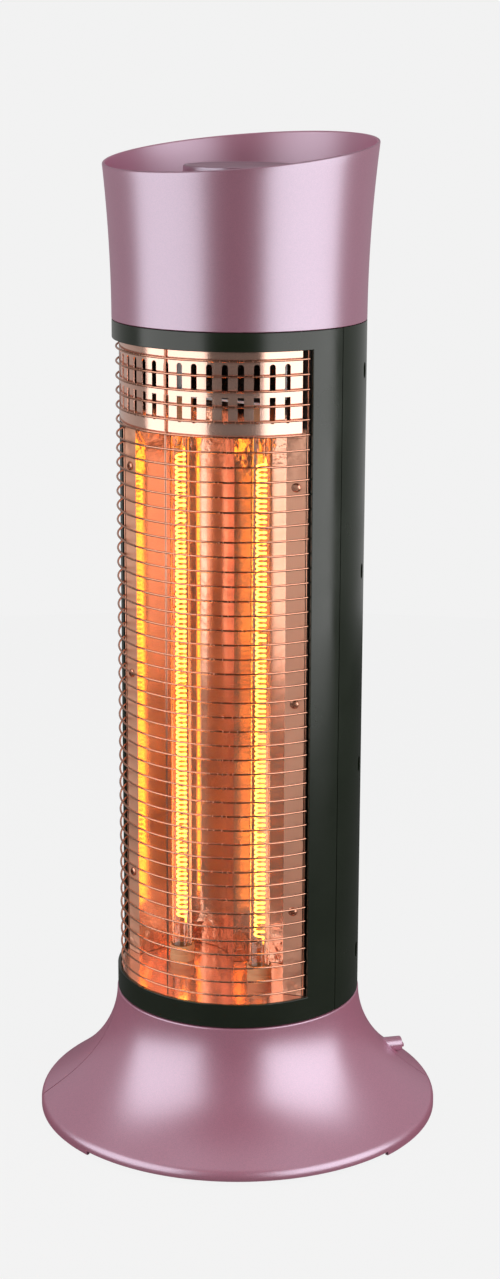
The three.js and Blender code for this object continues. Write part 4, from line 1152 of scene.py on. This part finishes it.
def make_lamp(side, x):
    """A quartz tube with a wound filament in it and a ceramic cap on each end."""
    bore = LAMP_RADIUS - LAMP_WALL
    ends = ((bore, LAMP_LOW), (LAMP_RADIUS, LAMP_LOW), (LAMP_RADIUS, LAMP_HIGH), (bore, LAMP_HIGH))
    corners = [(radius, height, 0.3) for radius, height in ends]
    tube = moved(turned_solid(f"lamp_tube_{side}", corners, MIDDLE_TURN), x, LAMP_Y)
    dressed(tube, "tower", "lamp_glass", f"quartz_tube_{side}")
    coil = new_piece(f"coil_{side}")
    shaped(
        coil, COIL, GLOW, {"Turns": COIL_TURNS}, Coil_Radius=COIL_RADIUS, Wire_Radius=COIL_WIRE,
        Low=COIL_LOW, High=COIL_HIGH, Lead_Low=LOWER_CAP + CAP_FLOOR / 2,
        Lead_High=UPPER_CAP - CAP_FLOOR / 2,
    )
    dressed(moved(coil, x, LAMP_Y), "tower", "carbon_filament", f"filament_{side}")
    for end, floor, way in (("lower", LOWER_CAP, 1), ("upper", UPPER_CAP, -1)):
        make_cap(f"{end}_ceramic_cap_{side}", x, floor, way)


def make_cap(node, x, floor, way):
    """A ceramic cap, with its floor away from the lamp and a groove round its mouth."""
    bore, lead, waist = LAMP_RADIUS + 0.3, 0.8, CAP_RADIUS - 0.7
    low, high, slope = 13.4, 15, 0.4
    corners = [
        (lead, 0, 0.2), (CAP_RADIUS, 0, 0.8), (CAP_RADIUS, low - slope, 0.2), (waist, low, 0.2),
        (waist, high, 0.2), (CAP_RADIUS, high + slope, 0.2), (CAP_RADIUS, CAP_LENGTH, 0.4),
        (bore, CAP_LENGTH, 0.3), (bore, CAP_FLOOR, 0), (lead, CAP_FLOOR, 0),
    ]
    cap = turned_solid(node + "_body", corners, MIDDLE_TURN, floor=floor, way=way)
    dressed(moved(cap, x, LAMP_Y), "tower", "ceramic", node)


# Cup
def flare_radius(height):
    return TUBE + FLARE_WIDTH * ((height - TOWER_HIGH) / FLARE_HEIGHT) ** 2


def rim_height(inset, angle):
    """The slanted rim's height. Its radius depends on the height, so it is found in a few rounds."""
    rounds = 6
    height = RIM_HEIGHT
    for _ in range(rounds):
        height = RIM_HEIGHT + tan(RIM_TILT) * (flare_radius(height) - inset) * cos(angle - RIM_HIGHEST)
    return height


def cup_outline(angle):
    """The cup's wall at an angle, from the seat to a rounded lip and back down inside."""
    lip, foot = CUP_WALL / 2, 0.4
    outer_steps, inner_steps, lip_steps = 20, 12, 8
    outside_top, inside_top = rim_height(0, angle) - lip, rim_height(CUP_WALL, angle) - lip
    levels = spread(CUP_LOW + foot, outside_top, outer_steps)
    outside = [(flare_radius(height), height) for height in levels]
    levels = spread(inside_top, CUP_LOW, inner_steps)
    inside = [(flare_radius(height) - CUP_WALL, height) for height in levels]
    start, stop = outside[-1], inside[0]
    middle = ((start[0] + stop[0]) / 2, (start[1] + stop[1]) / 2)
    arm = (start[0] - middle[0], start[1] - middle[1])
    lips = [
        (middle[0] + arm[0] * cos(turn), middle[1] + arm[1] * cos(turn) + lip * sin(turn))
        for turn in spread(0, pi, lip_steps)[1:-1]
    ]
    return [(flare_radius(CUP_LOW) - foot, CUP_LOW)] + outside + lips + inside


def make_cup():
    """The cup, and the deck in it with a ring let in round the dial."""
    cup = turned_piece("cup_skin", cup_outline, full_turn(FINE_TURN))
    dressed(cup, "tower", "pink_metallic", "cap_shell", finish=SHADED_PINK)
    bore, fit, sunk, slope = 3.6, 0.3, 0.8, 1
    near, far = DIAL_RADIUS + 3, DIAL_RADIUS + 5
    low, ring = DECK_TOP - DECK_THICK, DECK_TOP - sunk
    edge = flare_radius(low) - CUP_WALL - fit
    corners = [
        (bore, low, 0), (edge, low, 0.3), (edge, DECK_TOP, 0.6), (far + slope, DECK_TOP, 0.4),
        (far, ring, 0.4), (near, ring, 0.4), (near - slope, DECK_TOP, 0.4),
        (bore, DECK_TOP, 0.3),
    ]
    deck = turned_solid("dial_deck", corners, BROAD_TURN)
    dressed(deck, "tower", "gloss_black", "control_deck")


def make_dial():
    """The dial: a broad round cap, dished on top, with a pointer groove."""
    wall, hub, bore, shaft_drop = 2.5, 7.0, 3.3, 11.2
    border, slope, dish = 3.2, 1.8, 0.7
    groove_width, groove_length, groove_sink, groove_inset = 3, 22, 1, 3.7
    shaft_top = DIAL_TOP - shaft_drop
    under, floor = DIAL_TOP - wall, DIAL_TOP - dish
    corners = [
        (0, shaft_top, 0), (bore, shaft_top, 0), (bore, DIAL_LOW, 0.2), (hub, DIAL_LOW, 0.2),
        (hub, under, 0), (DIAL_RADIUS - wall, under, 0), (DIAL_RADIUS - wall, DIAL_LOW, 0.3),
        (DIAL_RADIUS, DIAL_LOW, 0.6), (DIAL_RADIUS, DIAL_TOP, 1.2), (DIAL_RADIUS - border, DIAL_TOP, 0.5),
        (DIAL_RADIUS - border - slope, floor, 0.8), (0, floor, 0),
    ]
    dial = turned_solid("dial_cap", corners, BROAD_TURN, looped=False)
    middle = DIAL_RADIUS - groove_inset - groove_length / 2
    lift = DIAL_TOP - groove_sink + groove_width / 2
    groove = block_piece("groove", (groove_width, groove_length, groove_width), (0, -middle, lift))
    carved(dial, made_plain(softened(groove, 0.7, segments=3)))
    softened(dial, 0.25, angle=50)
    dressed(dial, "dial_unit", "pink_metallic", "dial", finish=SHADED_DIAL_PINK)


def dress_cad_nodes():
    """Gives every CAD node the finish of its own slot."""
    for part in frame["record"]["subparts"]:
        painted(frame["nodes"][part["node"]], FINISHES[part["material_slot"]])


# Camera, floor and light, in metres
CAMERA_TURN = radians(36)


def make_camera():
    """The photograph's own view, as fitted to the rims, the window and the grille."""
    distance, height, lens = 1.598, 0.738, 67.89
    tilt, pan, roll = radians(14.065), radians(0.277), radians(0.202)
    data = bpy.data.cameras.new("camera")
    data.sensor_width = 36.0
    data.sensor_fit = "AUTO"
    data.lens = lens
    camera = linked("camera", data)
    spot = Matrix.Translation(place_on(distance, CAMERA_TURN, height))
    aim = Matrix.Rotation(CAMERA_TURN - pan, 4, "Z") @ Matrix.Rotation(pi / 2 - tilt, 4, "X")
    camera.matrix_world = spot @ aim @ Matrix.Rotation(roll, 4, "Z")
    bpy.context.scene.camera = camera


def make_floor():
    """A pale disc. It glows a little, so that it looks even, but it hardly lights the object from below."""
    radius, sides = 1.5, 96
    mesh = bpy.data.meshes.new("floor")
    corners = [(radius * cos(angle), radius * sin(angle), 0) for angle in full_turn(sides)]
    mesh.from_pydata(corners, [], [tuple(range(sides))])
    pale = {"Specular_IOR_Level": 0.0, "Emission_Color": (1, 1, 1, 1), "Emission_Strength": 0.87}
    finish = Finish("pale floor", Roughness=0.9, **pale)
    skin = finish.effect(GRAIN, Grain_Scale=30.0, Smudge_Scale=2.0)
    finish.feed(Base_Color=finish.coloured(skin["Smudge"], (0.03, 0.03, 0.03), (0.034, 0.034, 0.034)))
    dim = finish.get("ShaderNodeBsdfDiffuse", Color=(0.15, 0.15, 0.15, 1))
    finish.show("Material Output", finish.shader.outputs[0], dim)
    mesh.materials.append(finish.material)
    linked("floor", mesh)


def soft_box(name, width, depth, glow, place, turn):
    """A soft light that the camera doesn't see itself."""
    data = bpy.data.lights.new(name, "AREA")
    data.shape = "RECTANGLE"
    data.size, data.size_y = width, depth
    data.energy = glow * pi * width * depth
    light = linked(name, data)
    light.visible_camera = False
    light.location = place
    light.rotation_euler = turn


def make_lights():
    """An upright soft box on each side of the camera, and a weak one above the object."""
    distance, low, high = 1.05, 0.03, 1.3
    for name, turn, width, glow in (("left_box", -63, 1.36, 2.0), ("right_box", 57, 1.47, 2.4)):
        angle = CAMERA_TURN + radians(turn)
        place = place_on(distance, angle, (low + high) / 2)
        soft_box(name, width, high - low, glow, place, (pi / 2, 0, angle))
    forward, top, width, depth, glow = 0.05, 1.75, 1.6, 0.8, 0.55
    place = place_on(forward, CAMERA_TURN, top)
    soft_box("top_box", width, depth, glow, place, (0, 0, CAMERA_TURN))


def make_world():
    """A pale backdrop behind the object, in a dim room that is darkest on the camera's side."""
    world = bpy.data.worlds.new("studio")
    bpy.context.scene.world = world
    world.use_nodes = True
    steps = Steps(world.node_tree)
    backdrop = world.node_tree.nodes["Background"]
    backdrop.inputs["Color"].default_value = (0.887, 0.887, 0.887, 1)
    away = (-sin(CAMERA_TURN), cos(CAMERA_TURN), 0)
    direction = steps.add("ShaderNodeTexCoord").outputs["Generated"]
    depth = steps.add("ShaderNodeVectorMath", direction, away, operation="DOT_PRODUCT").outputs["Value"]
    level = steps.get("ShaderNodeMapRange", depth, From_Min=-0.3, From_Max=0.8, To_Min=0.04, To_Max=0.42)
    room = steps.get("ShaderNodeBackground", Color=(1, 1, 1, 1), Strength=level)
    steps.show("World Output", backdrop.outputs[0], room)


SCREWS = screw_tree()
COIL = coil_tree()
bpy.context.scene.view_settings.view_transform = "Standard"
dress_cad_nodes()
make_base()
make_feet()
make_plate()
make_shell()
make_well_screws()
make_grille()
make_reflector()
make_shroud()
make_lamp("left", -LAMP_X)
make_lamp("right", LAMP_X)
make_cup()
make_dial()
make_camera()
make_floor()
make_world()
make_lights()
